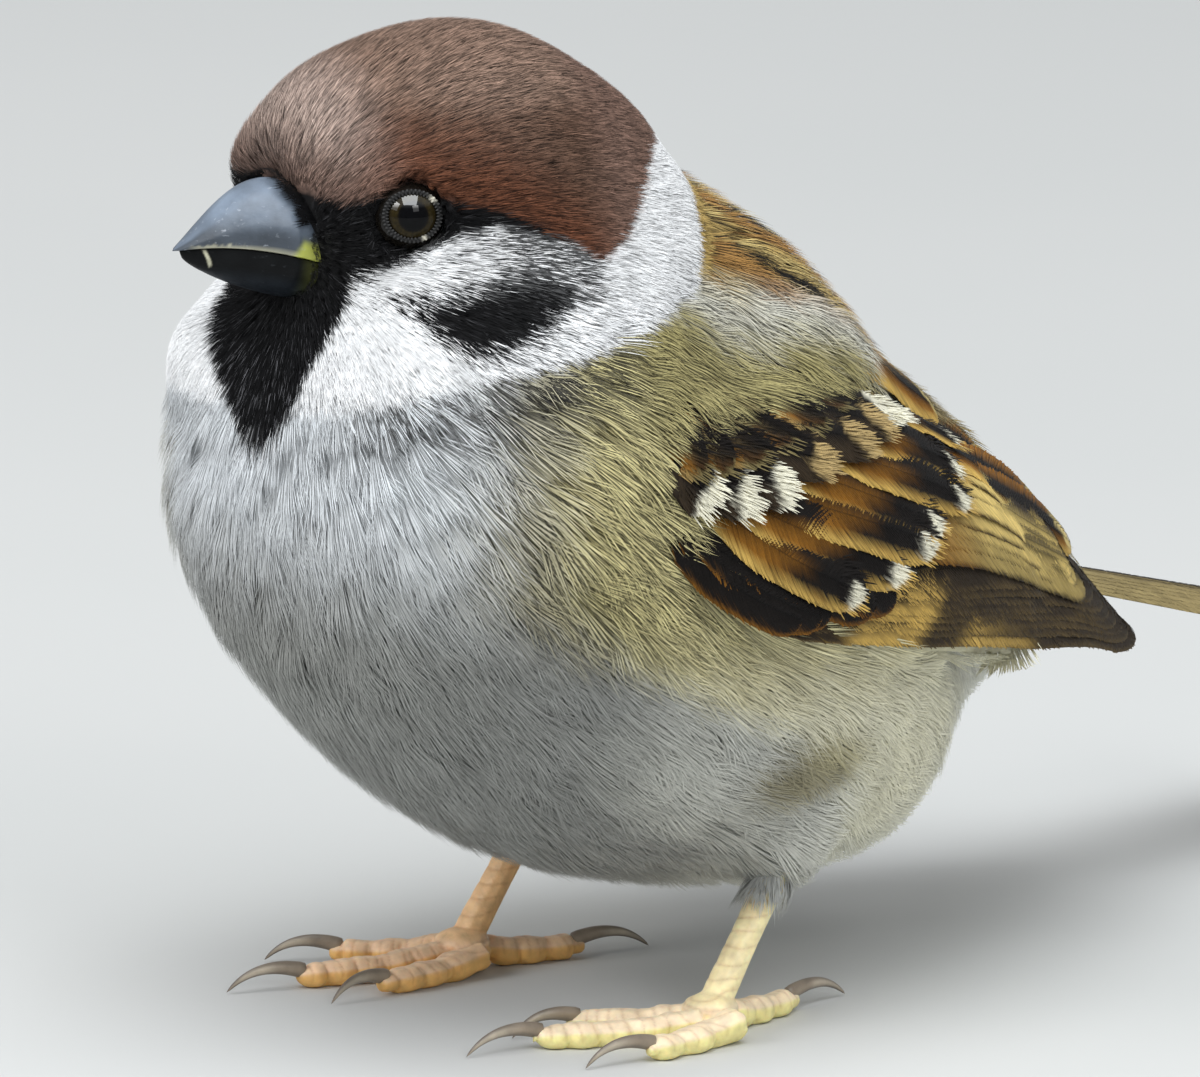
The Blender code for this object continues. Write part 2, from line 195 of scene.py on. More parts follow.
@dataclass
class Pieces:
    """Points, faces and colours of many small things on their way to one mesh."""

    batches: list = field(default_factory=list)
    count: int = 0

    def add(self, points: Array, quads: Array, triangles: Array, *layers: Array) -> None:
        """Adds a batch whose faces count from its own first point.

        Args:
            points: its places, in bird millimetres.
            quads: its faces of four corners.
            triangles: its faces of three corners.
            layers: its points' colours, places on the OFBake map and places on the Vane map.
        """
        self.batches.append((points, quads + self.count, triangles + self.count, *layers))
        self.count += len(points)

    def object(self, name: str, material: Material) -> Object:
        """Joins the batches.

        Args:
            name: the piece's name.
            material: its finish.

        Returns:
            An object in the row frame with the maps OFBake and Vane and the attribute Plumage.
        """
        points, quads, triangles, colours, bake, vane = map(np.concatenate, zip(*self.batches))
        mesh = bpy.data.meshes.new(name)
        mesh.vertices.add(len(points))
        mesh.vertices.foreach_set("co", BIRD.to_row(points).astype(np.float32).ravel())
        corners = np.concatenate([quads.ravel(), triangles.ravel()]).astype(np.int32)
        mesh.loops.add(len(corners))
        mesh.loops.foreach_set("vertex_index", corners)
        starts = np.concatenate([np.arange(len(quads)) * 4, len(quads) * 4 + np.arange(len(triangles)) * 3])
        mesh.polygons.add(len(starts))
        mesh.polygons.foreach_set("loop_start", starts.astype(np.int32))
        mesh.update(calc_edges=True)
        mesh.shade_smooth()
        paint(mesh, colours)
        low, high = bake.min(0), bake.max(0)
        lay_map(mesh, "OFBake", 0.02 + 0.96 * (bake - low) / (high - low), corners)
        lay_map(mesh, "Vane", vane, corners)
        return show(name, mesh, material)


def paint(mesh: Mesh, colours: Array) -> None:
    """Stores a colour for each vertex as the attribute Plumage."""
    layer = mesh.color_attributes.new("Plumage", "FLOAT_COLOR", "POINT")
    rgba = np.ones((len(colours), 4), np.float32)
    rgba[:, :3] = colours
    layer.data.foreach_set("color", rgba.ravel())


def lay_map(mesh: Mesh, name: str, places: Array, corners: Array) -> None:
    """Stores a place for each vertex as a UV map."""
    layer = mesh.uv_layers.new(name=name)
    layer.uv.foreach_set("vector", places[corners].astype(np.float32).ravel())


def show(name: str, mesh: Mesh, material: Material) -> Object:
    """Links a mesh as an object at the origin that wears one material.

    Args:
        name: the object's name.
        mesh: its mesh.
        material: its finish.

    Returns:
        The object.
    """
    obj = bpy.data.objects.new(name, mesh)
    mesh.materials.clear()
    mesh.materials.append(material)
    bpy.context.scene.collection.objects.link(obj)
    return obj


def finish_piece(obj: Object, slot: str, *nodes: str) -> None:
    """Rides a piece on the bird and reports it.

    Args:
        obj: the piece.
        slot: the slot that it belongs to; not used.
        nodes: the CAD nodes that it stands for.
    """
    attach(obj, "root")
    if nodes:
        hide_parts(*nodes)
    triangles = sum(len(p.vertices) - 2 for p in obj.data.polygons)
    LOG.info("%s: %d triangles", obj.name, triangles)


def settled(faces: Iterable) -> list[list[int]]:
    """Each face's vertex numbers, in an order that is the same in every run."""
    rings = [[vert.index for vert in face.verts] for face in faces]
    starts = [ring.index(min(ring)) for ring in rings]
    return sorted(ring[start:] + ring[:start] for ring, start in zip(rings, starts))


def joined_copy(nodes: list[str]) -> Mesh:
    """One mesh of copies of the CAD nodes, with each node's doubles merged.

    Args:
        nodes: their names.

    Returns:
        The mesh.
    """
    whole = bmesh.new()
    for node in nodes:
        whole.from_mesh(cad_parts[node].data)
    bmesh.ops.remove_doubles(whole, verts=whole.verts, dist=1e-6)
    mesh = bpy.data.meshes.new("copy")
    whole.to_mesh(mesh)
    whole.free()
    return mesh


def remeshed(mesh: Mesh, voxel: float, rounds: int) -> Mesh:
    """The mesh as one closed even shell.

    Args:
        mesh: the shapes to join.
        voxel: size of the new faces, in metres.
        rounds: how often the shell is smoothed.

    Returns:
        A new mesh.
    """
    obj = bpy.data.objects.new("shell", mesh)
    bpy.context.scene.collection.objects.link(obj)
    remesh = obj.modifiers.new("even", "REMESH")
    remesh.mode = "VOXEL"
    remesh.voxel_size = voxel
    ease = obj.modifiers.new("ease", "SMOOTH")
    ease.factor = 0.5
    ease.iterations = rounds
    depsgraph = bpy.context.evaluated_depsgraph_get()
    made = bpy.data.meshes.new_from_object(obj.evaluated_get(depsgraph))
    bpy.data.objects.remove(obj)
    return made


def places_of(mesh: Mesh) -> Array:
    """A mesh's vertices in bird millimetres."""
    found = np.empty(len(mesh.vertices) * 3, np.float32)
    mesh.vertices.foreach_get("co", found)
    return BIRD.from_row(found.reshape(-1, 3).astype(float))


def normals_of(mesh: Mesh) -> Array:
    """A mesh's vertex normals."""
    found = np.empty(len(mesh.vertices) * 3, np.float32)
    mesh.vertex_normals.foreach_get("vector", found)
    return found.reshape(-1, 3).astype(float)


def move_to(mesh: Mesh, places: Array) -> None:
    """Puts a mesh's vertices at places given in bird millimetres."""
    mesh.vertices.foreach_set("co", BIRD.to_row(places).astype(np.float32).ravel())
    mesh.update()


@dataclass
class Surface:
    """A closed shell that feathers are laid on."""

    points: Array
    triangles: Array
    normals: Array
    tree: BVHTree

    @classmethod
    def of(cls, mesh: Mesh) -> "Surface":
        """Reads a mesh in the row frame."""
        mesh.calc_loop_triangles()
        triangles = np.empty(len(mesh.loop_triangles) * 3, np.int32)
        mesh.loop_triangles.foreach_get("vertices", triangles)
        triangles = triangles.reshape(-1, 3)
        points = places_of(mesh)
        tree = BVHTree.FromPolygons(points.tolist(), triangles.tolist())
        return cls(points, triangles, normals_of(mesh), tree)

    def nearest(self, places: Array) -> tuple[Array, Array]:
        """The surface's closest points.

        Args:
            places: points near the surface.

        Returns:
            The closest points on it, and the outward normals there.
        """
        found = np.empty_like(places)
        faces = np.empty(len(places), int)
        for i, place in enumerate(places):
            where, _, face, _ = self.tree.find_nearest(Vector(place))
            found[i] = where
            faces[i] = face
        corners = self.triangles[faces]
        return found, unit(self.normals[corners].sum(axis=1))

    def scatter(self, per_square: float, rng: Rng, keep: Judge) -> tuple[Array, Array]:
        """Random places on the surface.

        Args:
            per_square: places to each square millimetre.
            rng: where the chances come from.
            keep: says which of some points are wanted.

        Returns:
            The places and the outward normals there.
        """
        corners = self.points[self.triangles]
        edges = corners[:, 1:] - corners[:, :1]
        area = np.linalg.norm(np.cross(edges[:, 0], edges[:, 1]), axis=1) / 2
        wanted = rng.poisson(area * per_square)
        owner = np.repeat(np.arange(len(area)), wanted)
        first, second = rng.random(len(owner)), rng.random(len(owner))
        over = first + second > 1
        first[over], second[over] = 1 - first[over], 1 - second[over]
        shares = np.stack([1 - first - second, first, second], axis=1)
        points = (corners[owner] * shares[..., None]).sum(axis=1)
        normals = unit((self.normals[self.triangles[owner]] * shares[..., None]).sum(axis=1))
        kept = keep(points, normals)
        return points[kept], normals[kept]


def spaced(points: Array, spacing: float) -> Array:
    """Picks points that keep a distance from each other, in the order given.

    Args:
        points: the candidates.
        spacing: how far they keep from each other.

    Returns:
        The indices of the points that are kept.
    """
    cells: dict[tuple, list[int]] = {}
    kept = []
    around = list(itertools.product((-1, 0, 1), repeat=3))
    for i, (x, y, z) in enumerate(np.floor(points / spacing).astype(int).tolist()):
        near = [j for dx, dy, dz in around for j in cells.get((x + dx, y + dy, z + dz), ())]
        if all(np.dot(points[i] - points[j], points[i] - points[j]) >= spacing**2 for j in near):
            kept.append(i)
            cells.setdefault((x, y, z), []).append(i)
    return np.array(kept)


def unwrap(points: Array, centre: Array) -> Array:
    """Opens a shell that surrounds a centre out to a square, as an octahedron opens.

    Args:
        points: places on the shell.
        centre: a point inside it.

    Returns:
        A place in the unit square for each point. Neighbours stay together.
    """
    ray = points - centre
    ray = ray / np.abs(ray).sum(axis=1, keepdims=True)
    across, height, ahead = ray[:, 0], ray[:, 2], ray[:, 1]
    signs = np.where(np.stack([across, height], 1) >= 0, 1.0, -1.0)
    folded = (1 - np.abs(np.stack([height, across], 1))) * signs
    flat = np.where((ahead > 0)[:, None], folded, np.stack([across, height], 1))
    return flat / 2 + 0.5


# ---------------------------------------------------------------- markings


@dataclass
class Markings:
    """Where each colour of the plumage lies, for the skin and for the coat alike."""

    # forward and up on the side of the head
    crown_line: tuple = (
        (-17, 7.4), (-14.5, 6.3), (-11.5, 3.5), (-8.8, 1.2), (-5.7, 0.0), (-3.6, 1.4), (-1.1, 2.6),
        (2.5, 4.1), (6.2, 5.0), (8.5, 5.9), (10.3, 5.2), (12.1, 4.0), (15, 4.6),
    )
    mask_line: tuple = (
        (-4.5, 1.4), (-1, 2.1), (3.3, 3.2), (6.3, 2.0), (9.3, 0.1), (11.1, -1.3), (12, -2.8), (13.5, -4.2),
    )
    collar_line: tuple = (
        (-22, 7.0), (-20.6, 4.1), (-19.1, 1.6), (-18.2, -0.9), (-16.4, -3.4), (-11.5, -4.5),
        (-3.5, -6.2), (3, -7.5), (8, -8.8), (12, -10.6), (17, -12.3),
    )
    # up and left on the front of the throat
    bib_left: tuple = ((-15.2, 4.2), (-13.4, 5.5), (-11.3, 6.1), (-9.0, 6.3), (-5.3, 7.2), (-2.6, 7.6))
    bib_right: tuple = (
        (-15.2, 2.2), (-14.2, 0.8), (-12.6, -0.8), (-10.9, -2.2), (-8.8, -4.0), (-6.9, -5.6), (-4, -7.2),
    )
    # forward and up: the cheek spot's upper and lower edges
    spot_top: tuple = ((-1.8, -2.0), (-1.0, -1.3), (2.0, -1.3), (5.1, -1.7), (8.1, -2.4), (9.6, -2.7))
    spot_low: tuple = (
        (-1.8, -2.7), (0.0, -4.4), (2.3, -5.6), (4.0, -6.1), (6.0, -6.2), (8.1, -4.6), (9.6, -2.8),
    )
    # up and back on the side of the body
    flank_line: tuple = ((17, 11), (25, -3), (28.6, -11), (33, -19), (38, -24.9), (45, -25.3), (54, -22.9))
    # back and across on top of the body
    mantle_edge: tuple = ((-8, 15.1), (9, 12.4), (18, 10.5), (30, 8.4), (46, 6.0))
    # across, back and up: the middle of the painted shadow in the crease behind the thigh, and a dusky patch
    # at the shoulder
    fold_shadow: tuple = (20.2, 2.6, 20.1)
    dusky_patch: tuple = (17.9, -23.3, 53.2)
    glint: tuple = (0.13, 0.13, 0.14)

    @staticmethod
    def line(profile: tuple, at: Array) -> Array:
        """Height of a boundary at each place along it."""
        along, height = np.array(profile, float).T
        return np.interp(at, along, height)

    def on_head(self, points: Array) -> Array:
        """How far each point is above the lower edge of the collar."""
        local = BIRD.to_head(points)
        return local[:, 2] - self.line(self.collar_line, local[:, 0])

    def on_crown(self, points: Array) -> Array:
        """How far each point is above the lower edge of the crown."""
        local = BIRD.to_head(points)
        return local[:, 2] - self.line(self.crown_line, local[:, 0])

    def on_mantle(self, points: Array) -> Array:
        """How far each point is inside the edge of the mantle, which also ends where the back does."""
        edge = self.line(self.mantle_edge, points[:, 1])
        return np.minimum(edge - np.abs(points[:, 0]), points[:, 2] - (47 - 0.42 * points[:, 1]))

    def bib(self, local: Array) -> Array:
        """How far each point, in the head's frame, is inside the bib, whose tip leans to the left."""
        forward, left, up = local.T
        inside = np.minimum(self.line(self.bib_left, up) - left, left - self.line(self.bib_right, up))
        return np.minimum(inside, np.minimum(forward - 6, up + 15.2))

    def spot(self, local: Array) -> Array:
        """How far each point, in the head's frame, is inside the cheek spot."""
        forward, up = local[:, 0], local[:, 2]
        inside = np.minimum(self.line(self.spot_top, forward) - up, up - self.line(self.spot_low, forward))
        return np.minimum(inside, np.minimum(9.6 - forward, forward + 1.8))

    def head_colour(self, local: Array, chance: Array) -> Array:
        """Colours of the head.

        Args:
            local: places in the head's frame.
            chance: from 0 to 1 for each place; it mixes the grizzled places.

        Returns:
            The colours in linear light.
        """
        forward, up = local[:, 0], local[:, 2]
        colour = plain(Tint.WHITE, local)
        shade = smooth_step(-2.0 - (up - self.line(self.collar_line, forward)) + 3.2, 2.5)
        colour = mix(colour, Tint.COLLAR_SHADE, 0.1 * shade)
        # the grizzled streak behind the eye
        mask = self.line(self.mask_line, forward)
        between = np.minimum(mask + 0.6 - up, up + 2.6)
        grizzle = smooth_step(between, 0.8) * smooth_step(6.5 - forward, 6) * smooth_step(forward + 5.6, 2)
        rear = smooth_step(2.5 - forward, 5)
        colour = mix(colour, Tint.BLACK, (chance < grizzle * (0.24 + 0.42 * rear)) * 0.9)
        # mask, cheek spot and bib
        spot = self.spot(local)
        black = np.maximum(np.minimum(up - mask, forward + 4.5), spot)
        black = np.maximum(black, self.bib(local))
        black = np.maximum(black, np.minimum(forward - 12.9, up + 3.0))
        ragged = 0.5 + 1.6 * smooth_step(-11.5 - up, 3) * (forward > 6) + 1.7 * smooth_step(spot + 1.5, 1)
        colour = mix(colour, Tint.BLACK, smooth_step(black + (chance - 0.5) * ragged, 0.35))
        # painted glints: a few black barbs turned grey, most on the lower bib
        glint = (chance > 0.90) * smooth_step(black, 0.4) * (0.25 + 0.75 * smooth_step(-8 - up, 6))
        colour = mix(colour, np.array(self.glint), glint)
        # the crown: chestnut, redder at the sides, greyer on top, and lighter at the crest and the front with
        # painted sheen
        crown = up - self.line(self.crown_line, forward)
        side = smooth_step(4.2 - crown - 0.10 * np.abs(forward - 4), 6)
        chestnut = mix(Tint.CROWN_TOP.linear, Tint.CROWN_SIDE, side)
        chestnut = mix(chestnut, Tint.CREST_SHEEN, smooth_step(up - 11.2, 3))
        chestnut = mix(chestnut, Tint.CROWN_BACK, smooth_step(-7 - forward, 6))
        brow_sheen = 0.85 * smooth_step(forward - 10.5, 6) * (1 - 0.6 * side)
        chestnut = mix(chestnut, Tint.FOREHEAD_SHEEN, brow_sheen)
        chestnut = chestnut * (1 - 0.50 * self.crown_streaks(local))[:, None]
        return mix(colour, chestnut, smooth_step(crown, 0.5))

    @staticmethod
    def crown_streaks(local: Array) -> Array:
        """Share of the fine dark streaks that run back over the crown from the bill."""
        turn = np.arctan2(local[:, 1], local[:, 2] + 1.0)
        wander = ripple(local, 0.7)
        fine = np.sin(turn * 108 + 5.0 * wander) + 0.8 * np.sin(turn * 171 - 6.0 * ripple(local, 0.9) + 1)
        return smooth_step(fine + 0.9 * ripple(local, 2.2) - 0.6, 1.0)

    def body_colour(self, points: Array, chance: Array) -> Array:
        """Colours of the neck, trunk and thighs.

        Args:
            points: places in bird millimetres.
            chance: from 0 to 1 for each place; it picks the dark barbs of the fringe.

        Returns:
            The colours in linear light.
        """
        across, back, up = np.abs(points[:, 0]), points[:, 1], points[:, 2]
        colour = plain(Tint.BREAST, points)
        into_flank = back - self.line(self.flank_line, up)
        flank = smooth_step(into_flank, 7) * smooth_step(across - 12, 9)
        # darker towards the bottom: the grey belly, and painted shade of the underside
        colour = mix(colour, Tint.BELLY_AND_SHADE, smooth_step(39.5 - up, 14) * (1 - 0.55 * flank))
        colour = mix(colour, Tint.VENT, smooth_step(back - 5 - 4 * smooth_step(across - 14, 6), 19))
        # the pale thigh, and painted shadow in the crease behind it
        thigh = smooth_step(across - 14, 5) * smooth_step(back + 15, 10) * smooth_step(29 - up, 7)
        colour = mix(colour, Tint.VENT, 0.42 * thigh)
        mirrored = np.column_stack([across, back, up])
        fold_shadow = smooth_step(3.4 - np.linalg.norm((mirrored - self.fold_shadow) * (1, 0.6, 1), axis=1), 3.4)
        colour = mix(colour, Tint.OLIVE_SHADE.linear * 0.85, 0.8 * fold_shadow)
        # the olive flank, with painted shade in clumps and along its edge
        low = smooth_step(up - 30, 16)
        colour = mix(colour, Tint.OLIVE, 0.95 * flank * (0.36 + 0.64 * low))
        clump = smooth_step(ripple(points, 3.6) + 0.5 * ripple(points, 1.7), 1.0)
        clump = clump * smooth_step(across - 12, 5)
        border = np.exp(-(((into_flank + 1.0) / 3.0) ** 2)) * smooth_step(across - 12, 6)
        border = border * smooth_step(up - 33, 8)
        shade = np.maximum(0.62 * flank * low * clump, 0.6 * border)
        colour = mix(colour, Tint.OLIVE_SHADE, shade)
        # the dusky patch, and the dark fringe below the collar
        from_dusky = np.linalg.norm(mirrored - self.dusky_patch, axis=1)
        dusky = smooth_step(2.6 - from_dusky, 3.0) * (0.25 + 0.75 * (chance < 0.45))
        colour = mix(colour, Tint.DUSKY, 0.9 * dusky)
        below = -self.on_head(points)
        fringe = smooth_step(below + 0.8, 1.5) * smooth_step(4.5 - below, 4) * smooth_step(across - 6, 8)
        fringe = fringe * np.where(points[:, 0] > 0, 1.0, 0.35)
        colour = mix(colour, Tint.DUSKY.linear * 0.6, 0.85 * fringe * (chance < 0.48))
        # the shoulder's pad and the back
        mantle = self.on_mantle(points)
        pad = mix(Tint.SHOULDER.linear, Tint.SHOULDER_TOP, smooth_step(mantle + 1.3, 1.8))
        colour = mix(colour, pad, self.on_shoulder(points))
        back_tint = mix(Tint.MANTLE.linear, Tint.RUMP, smooth_step(back - 24, 8))
        return mix(colour, back_tint, smooth_step(mantle - 0.5, 1.5))

    def contrast(self, points: Array) -> Array:
        """How dark the painted shade in the gaps between barbs is: most under the collar and on the flank by
        the wing.

        Args:
            points: places in bird millimetres.

        Returns:
            Shares from 0 to 1.
        """
        below = -self.on_head(points)
        fringe = smooth_step(below + 1.5, 2.5) * smooth_step(9 - below, 10)
        flank = smooth_step(points[:, 1] - self.line(self.flank_line, points[:, 2]) + 3, 6)
        flank *= smooth_step(points[:, 2] - 32, 12)
        quiet = smooth_step(-points[:, 0] - 2 - 0.5 * (points[:, 2] - 45), 10)
        lively = 0.12 + 0.08 * (1 - quiet) + 0.46 * fringe * (1 - quiet) + 0.75 * flank
        crown = smooth_step(self.on_crown(points), 0.5)
        return np.clip(np.maximum(lively * (1 - 0.2 * self.on_shoulder(points)), 0.7 * crown), 0, 1)

    def on_shoulder(self, points: Array) -> Array:
        """Share of the shoulder's pad of small feathers at each point."""
        across, back, up = np.abs(points[:, 0]), points[:, 1], points[:, 2]
        low = 51.5 - 0.20 * np.clip(back + 10, 0, 40)
        return smooth_step(np.minimum(back + 15.5, (up - low) * 0.8 + 2.0), 4) * smooth_step(across - 9, 4)

    def colour(self, points: Array, chance: Array) -> Array:
        """The plumage's colour at points in bird millimetres."""
        local = BIRD.to_head(points)
        above = np.maximum(smooth_step(self.on_head(points), 0.6), smooth_step(self.bib(local), 0.4))
        return mix(self.body_colour(points, chance), self.head_colour(local, chance), above)


MARKINGS = Markings()


def ripple(points: Array, pitch: float) -> Array:
    """A smooth, aimless value from about -1 to 1; pitch is its waves to each 2 pi millimetres."""
    x, y, z = (points * pitch).T
    sway = np.sin(x + 1.7 * np.sin(y * 0.8 + 1))
    return (sway + np.sin(y * 1.1 + 1.3 * np.sin(z + 2)) + np.sin(z * 0.9 - x)) / 3


def flattened(flow: Array, normals: Array) -> Array:
    """Directions turned into the plane across their normals, at length one."""
    return unit(flow - normals * (flow * normals).sum(axis=1, keepdims=True))


def arc_through(start: Array, turn: Array, end: Array, t: Array) -> tuple[Array, Array]:
    """Places on the curve from start to end that leans towards turn, and the headings there."""
    centre = start * (1 - t) ** 2 + turn * 2 * t * (1 - t) + end * t**2
    return centre, unit((turn - start) * (1 - t) + (end - turn) * t)


def lie_of(points: Array, normals: Array) -> Array:
    """Which way the feathers lie: away from the bill, then back and down along the body.

    Args:
        points: places on the skin.
        normals: outward there.

    Returns:
        The directions, at length one.
    """
    source = BIRD.from_head(np.array([BILL_ROOT]))[0]
    away = points - source
    reach = np.linalg.norm(away, axis=1)
    drift = smooth_step(reach - 19, 24)[:, None] * np.array([0.0, 1.0, -0.30])
    low = smooth_step(reach - 8, 14) * smooth_step(58 - points[:, 2], 10)
    droop = low[:, None] * np.array([0, 0, -0.35])
    flow = flattened(unit(away) + drift + droop, normals)
    turn = (ripple(points, 0.9) * 0.10 + ripple(points, 2.3) * 0.06)[:, None]
    return unit(flow + np.cross(normals, flow) * turn)


# ---------------------------------------------------------------- finishes


class Recipe:
    """The nodes of one material while it is put together."""

    def __init__(self, name: str, **values: object) -> None:
        """Starts from a Principled shader with these plain socket values."""
        self.material = bpy.data.materials.new(name)
        self.material.use_nodes = True
        self.tree = self.material.node_tree
        self.shader = self.tree.nodes["Principled BSDF"]
        for label, value in values.items():
            self.shader.inputs[label.replace("_", " ")].default_value = value

    def node(self, kind: str, inputs: dict | None = None, **settings: object) -> Node:
        """Adds a node.

        Args:
            kind: its type without the ShaderNode prefix.
            inputs: values or sockets for its inputs, by name or number.
            settings: its own properties.

        Returns:
            The node.
        """
        made = self.tree.nodes.new("ShaderNode" + kind)
        for label, value in settings.items():
            setattr(made, label, value)
        for label, value in (inputs or {}).items():
            if isinstance(value, NodeSocket):
                self.tree.links.new(value, made.inputs[label])
            else:
                made.inputs[label].default_value = value
        return made

    def noise(self, scale: float, detail: float = 3.0, stretch: tuple = (1, 1, 1)) -> NodeSocket:
        """Noise on Object coordinates; scale is in waves to the millimetre."""
        coordinates = self.node("TexCoord").outputs["Object"]
        size = scale / MM
        mapping = self.node("Mapping", {"Vector": coordinates, "Scale": tuple(size * s for s in stretch)})
        texture = self.node("TexNoise", {"Vector": mapping.outputs[0], "Scale": 1.0, "Detail": detail})
        return texture.outputs["Fac"]

    def between(
        self, value: NodeSocket, low: float, high: float, start: float = 0.0, end: float = 1.0
    ) -> NodeSocket:
        """A value carried from start..end to low..high."""
        limits = {"Value": value, "From Min": start, "From Max": end, "To Min": low, "To Max": high}
        return self.node("MapRange", limits).outputs[0]

    def tinted(self, colour: object, other: object, share: NodeSocket, how: str = "MIX") -> NodeSocket:
        """Two colours mixed by a share.

        Args:
            colour: the first, as a socket or a value.
            other: the second.
            share: of the second.
            how: the way they are mixed.

        Returns:
            The mixed colour.
        """
        mixer = self.node("Mix", data_type="RGBA", blend_type=how)
        for socket, value in ((mixer.inputs[6], colour), (mixer.inputs[7], other), (mixer.inputs[0], share)):
            if isinstance(value, NodeSocket):
                self.tree.links.new(value, socket)
            else:
                socket.default_value = value
        return mixer.outputs[2]

    def feed(self, label: str, value: NodeSocket) -> None:
        """Links a socket to the shader."""
        self.tree.links.new(value, self.shader.inputs[label])

    def plumage(self) -> NodeSocket:
        """The colour painted on the mesh."""
        return self.node("Attribute", attribute_name="Plumage").outputs["Color"]

    def shaded(self, colour: NodeSocket, light: NodeSocket) -> NodeSocket:
        """A colour made lighter and darker by a value around 1."""
        shade = self.node("CombineColor", {0: light, 1: light, 2: light}).outputs[0]
        return self.tinted(colour, shade, 1.0, "MULTIPLY")

    def bump(self, height: NodeSocket, depth: float) -> None:
        """Gives the shader small relief, with its depth in millimetres."""
        relief = self.node("Bump", {"Height": height, "Strength": 1.0, "Distance": depth * MM})
        self.feed("Normal", relief.outputs["Normal"])


@dataclass(frozen=True)
class PlumageFinish:
    """Soft barbs that take their colour from the markings."""

    name: str
    roughness: float = 0.62
    specular: float = 0.2
    mottling: float = 0.12

    def material(self) -> Material:
        """Makes the material."""
        recipe = Recipe(self.name, Specular_IOR_Level=self.specular, Sheen_Weight=0.04, Sheen_Roughness=0.5)
        colour = recipe.plumage()
        broad = recipe.noise(0.35, 3.0)
        fine = recipe.noise(2.6, 2.0)
        light = recipe.between(broad, 1 - self.mottling, 1 + self.mottling, 0.25, 0.75)
        grain = recipe.between(fine, 0.92, 1.08, 0.2, 0.8)
        both = recipe.node("Math", {0: light, 1: grain}, operation="MULTIPLY").outputs[0]
        recipe.feed("Base Color", recipe.shaded(colour, both))
        recipe.feed("Roughness", recipe.between(fine, self.roughness - 0.1, self.roughness + 0.1))
        return recipe.material


@dataclass(frozen=True)
class VaneFinish:
    """Smooth vanes of the wings and tail, with the fine lines of their barbs."""

    name: str
    roughness: float = 0.5
    pitch: float = 0.16

    def material(self) -> Material:
        """Makes the material."""
        recipe = Recipe(self.name, Specular_IOR_Level=0.14)
        colour = recipe.plumage()
        place = recipe.node("UVMap", uv_map="Vane").outputs["UV"]
        wander = {"Distortion": 1.1, "Detail": 2.0, "Detail Scale": 1.5}
        inputs = {"Vector": place, "Scale": 0.31 / self.pitch, **wander}
        lines = recipe.node("TexWave", inputs, wave_type="BANDS", bands_direction="X").outputs["Fac"]
        broad = recipe.noise(0.5, 3.0)
        light = recipe.between(broad, 0.84, 1.16, 0.25, 0.75)
        ribs = recipe.between(lines, 0.86, 1.08)
        both = recipe.node("Math", {0: light, 1: ribs}, operation="MULTIPLY").outputs[0]
        recipe.feed("Base Color", recipe.shaded(colour, both))
        recipe.feed("Roughness", recipe.between(lines, self.roughness + 0.08, self.roughness - 0.08))
        recipe.bump(lines, 0.03)
        return recipe.material


@dataclass(frozen=True)
class HornFinish:
    """Bill and claws: hard horn with scuffs and a dull shine."""

    name: str
    roughness: float = 0.38
    scuff: tuple = (0.42, 0.45, 0.50, 1)
    scuff_share: float = 0.5
    grain: float = 1.2
    specular: float = 0.4
    coat: float = 0.1

    def material(self) -> Material:
        """Makes the material."""
        gloss = {"Specular_IOR_Level": self.specular, "Coat_Weight": self.coat, "Coat_Roughness": 0.25}
        recipe = Recipe(self.name, **gloss)
        colour = recipe.plumage()
        broad = recipe.noise(0.5, 4.0)
        fine = recipe.noise(self.grain * 1.7, 5.0, (1.0, 0.5, 1.3))
        light = recipe.between(broad, 0.75, 1.25, 0.3, 0.7)
        mottled = recipe.shaded(colour, light)
        worn = recipe.between(fine, 0.0, self.scuff_share, 0.64, 0.74)
        recipe.feed("Base Color", recipe.tinted(mottled, self.scuff, worn))
        recipe.feed("Roughness", recipe.between(fine, self.roughness - 0.08, self.roughness + 0.22))
        recipe.bump(fine, 0.04)
        return recipe.material


@dataclass(frozen=True)
class LegFinish:
    """Bare leg skin under thin horny scutes."""

    name: str

    def material(self) -> Material:
        """Makes the material."""
        recipe = Recipe(
            self.name,
            Specular_IOR_Level=0.5,
            Subsurface_Weight=0.25,
            Subsurface_Radius=(1.0, 0.45, 0.25),
            Subsurface_Scale=0.0006,
        )
        colour = recipe.plumage()
        broad = recipe.noise(0.9, 3.0)
        fine = recipe.noise(4.0, 3.0)
        light = recipe.between(broad, 0.8, 1.2, 0.25, 0.75)
        recipe.feed("Base Color", recipe.shaded(colour, light))
        recipe.feed("Roughness", recipe.between(fine, 0.36, 0.6, 0.2, 0.8))
        recipe.bump(fine, 0.035)
        return recipe.material


@dataclass(frozen=True)
class EyeFinish:
    """Wet eyeball: black pupil, dark brown iris with fine spokes, brighter where it meets the sky.

    Attributes:
        middle: height of the ball's middle in metres.
        lower: how strongly its lower part mirrors.
        upper: how strongly its upper part mirrors.
        band: where the change lies, in millimetres above the middle.
    """

    name: str
    middle: float
    lower: float = 0.12
    upper: float = 1.0
    band: tuple = (0.95, 1.25)

    def material(self) -> Material:
        """Makes the material."""
        recipe = Recipe(self.name, Roughness=0.03)
        height = recipe.node("SeparateXYZ", {0: recipe.node("TexCoord").outputs["Object"]}).outputs[2]
        start, end = (self.middle + edge * MM for edge in self.band)
        sheen = recipe.between(height, self.lower, self.upper, start, end)
        recipe.feed("Specular IOR Level", sheen)
        colour = recipe.plumage()
        spokes = recipe.noise(3.5, 4.0)
        light = recipe.between(spokes, 0.6, 1.4, 0.3, 0.7)
        recipe.feed("Base Color", recipe.shaded(colour, light))
        return recipe.material


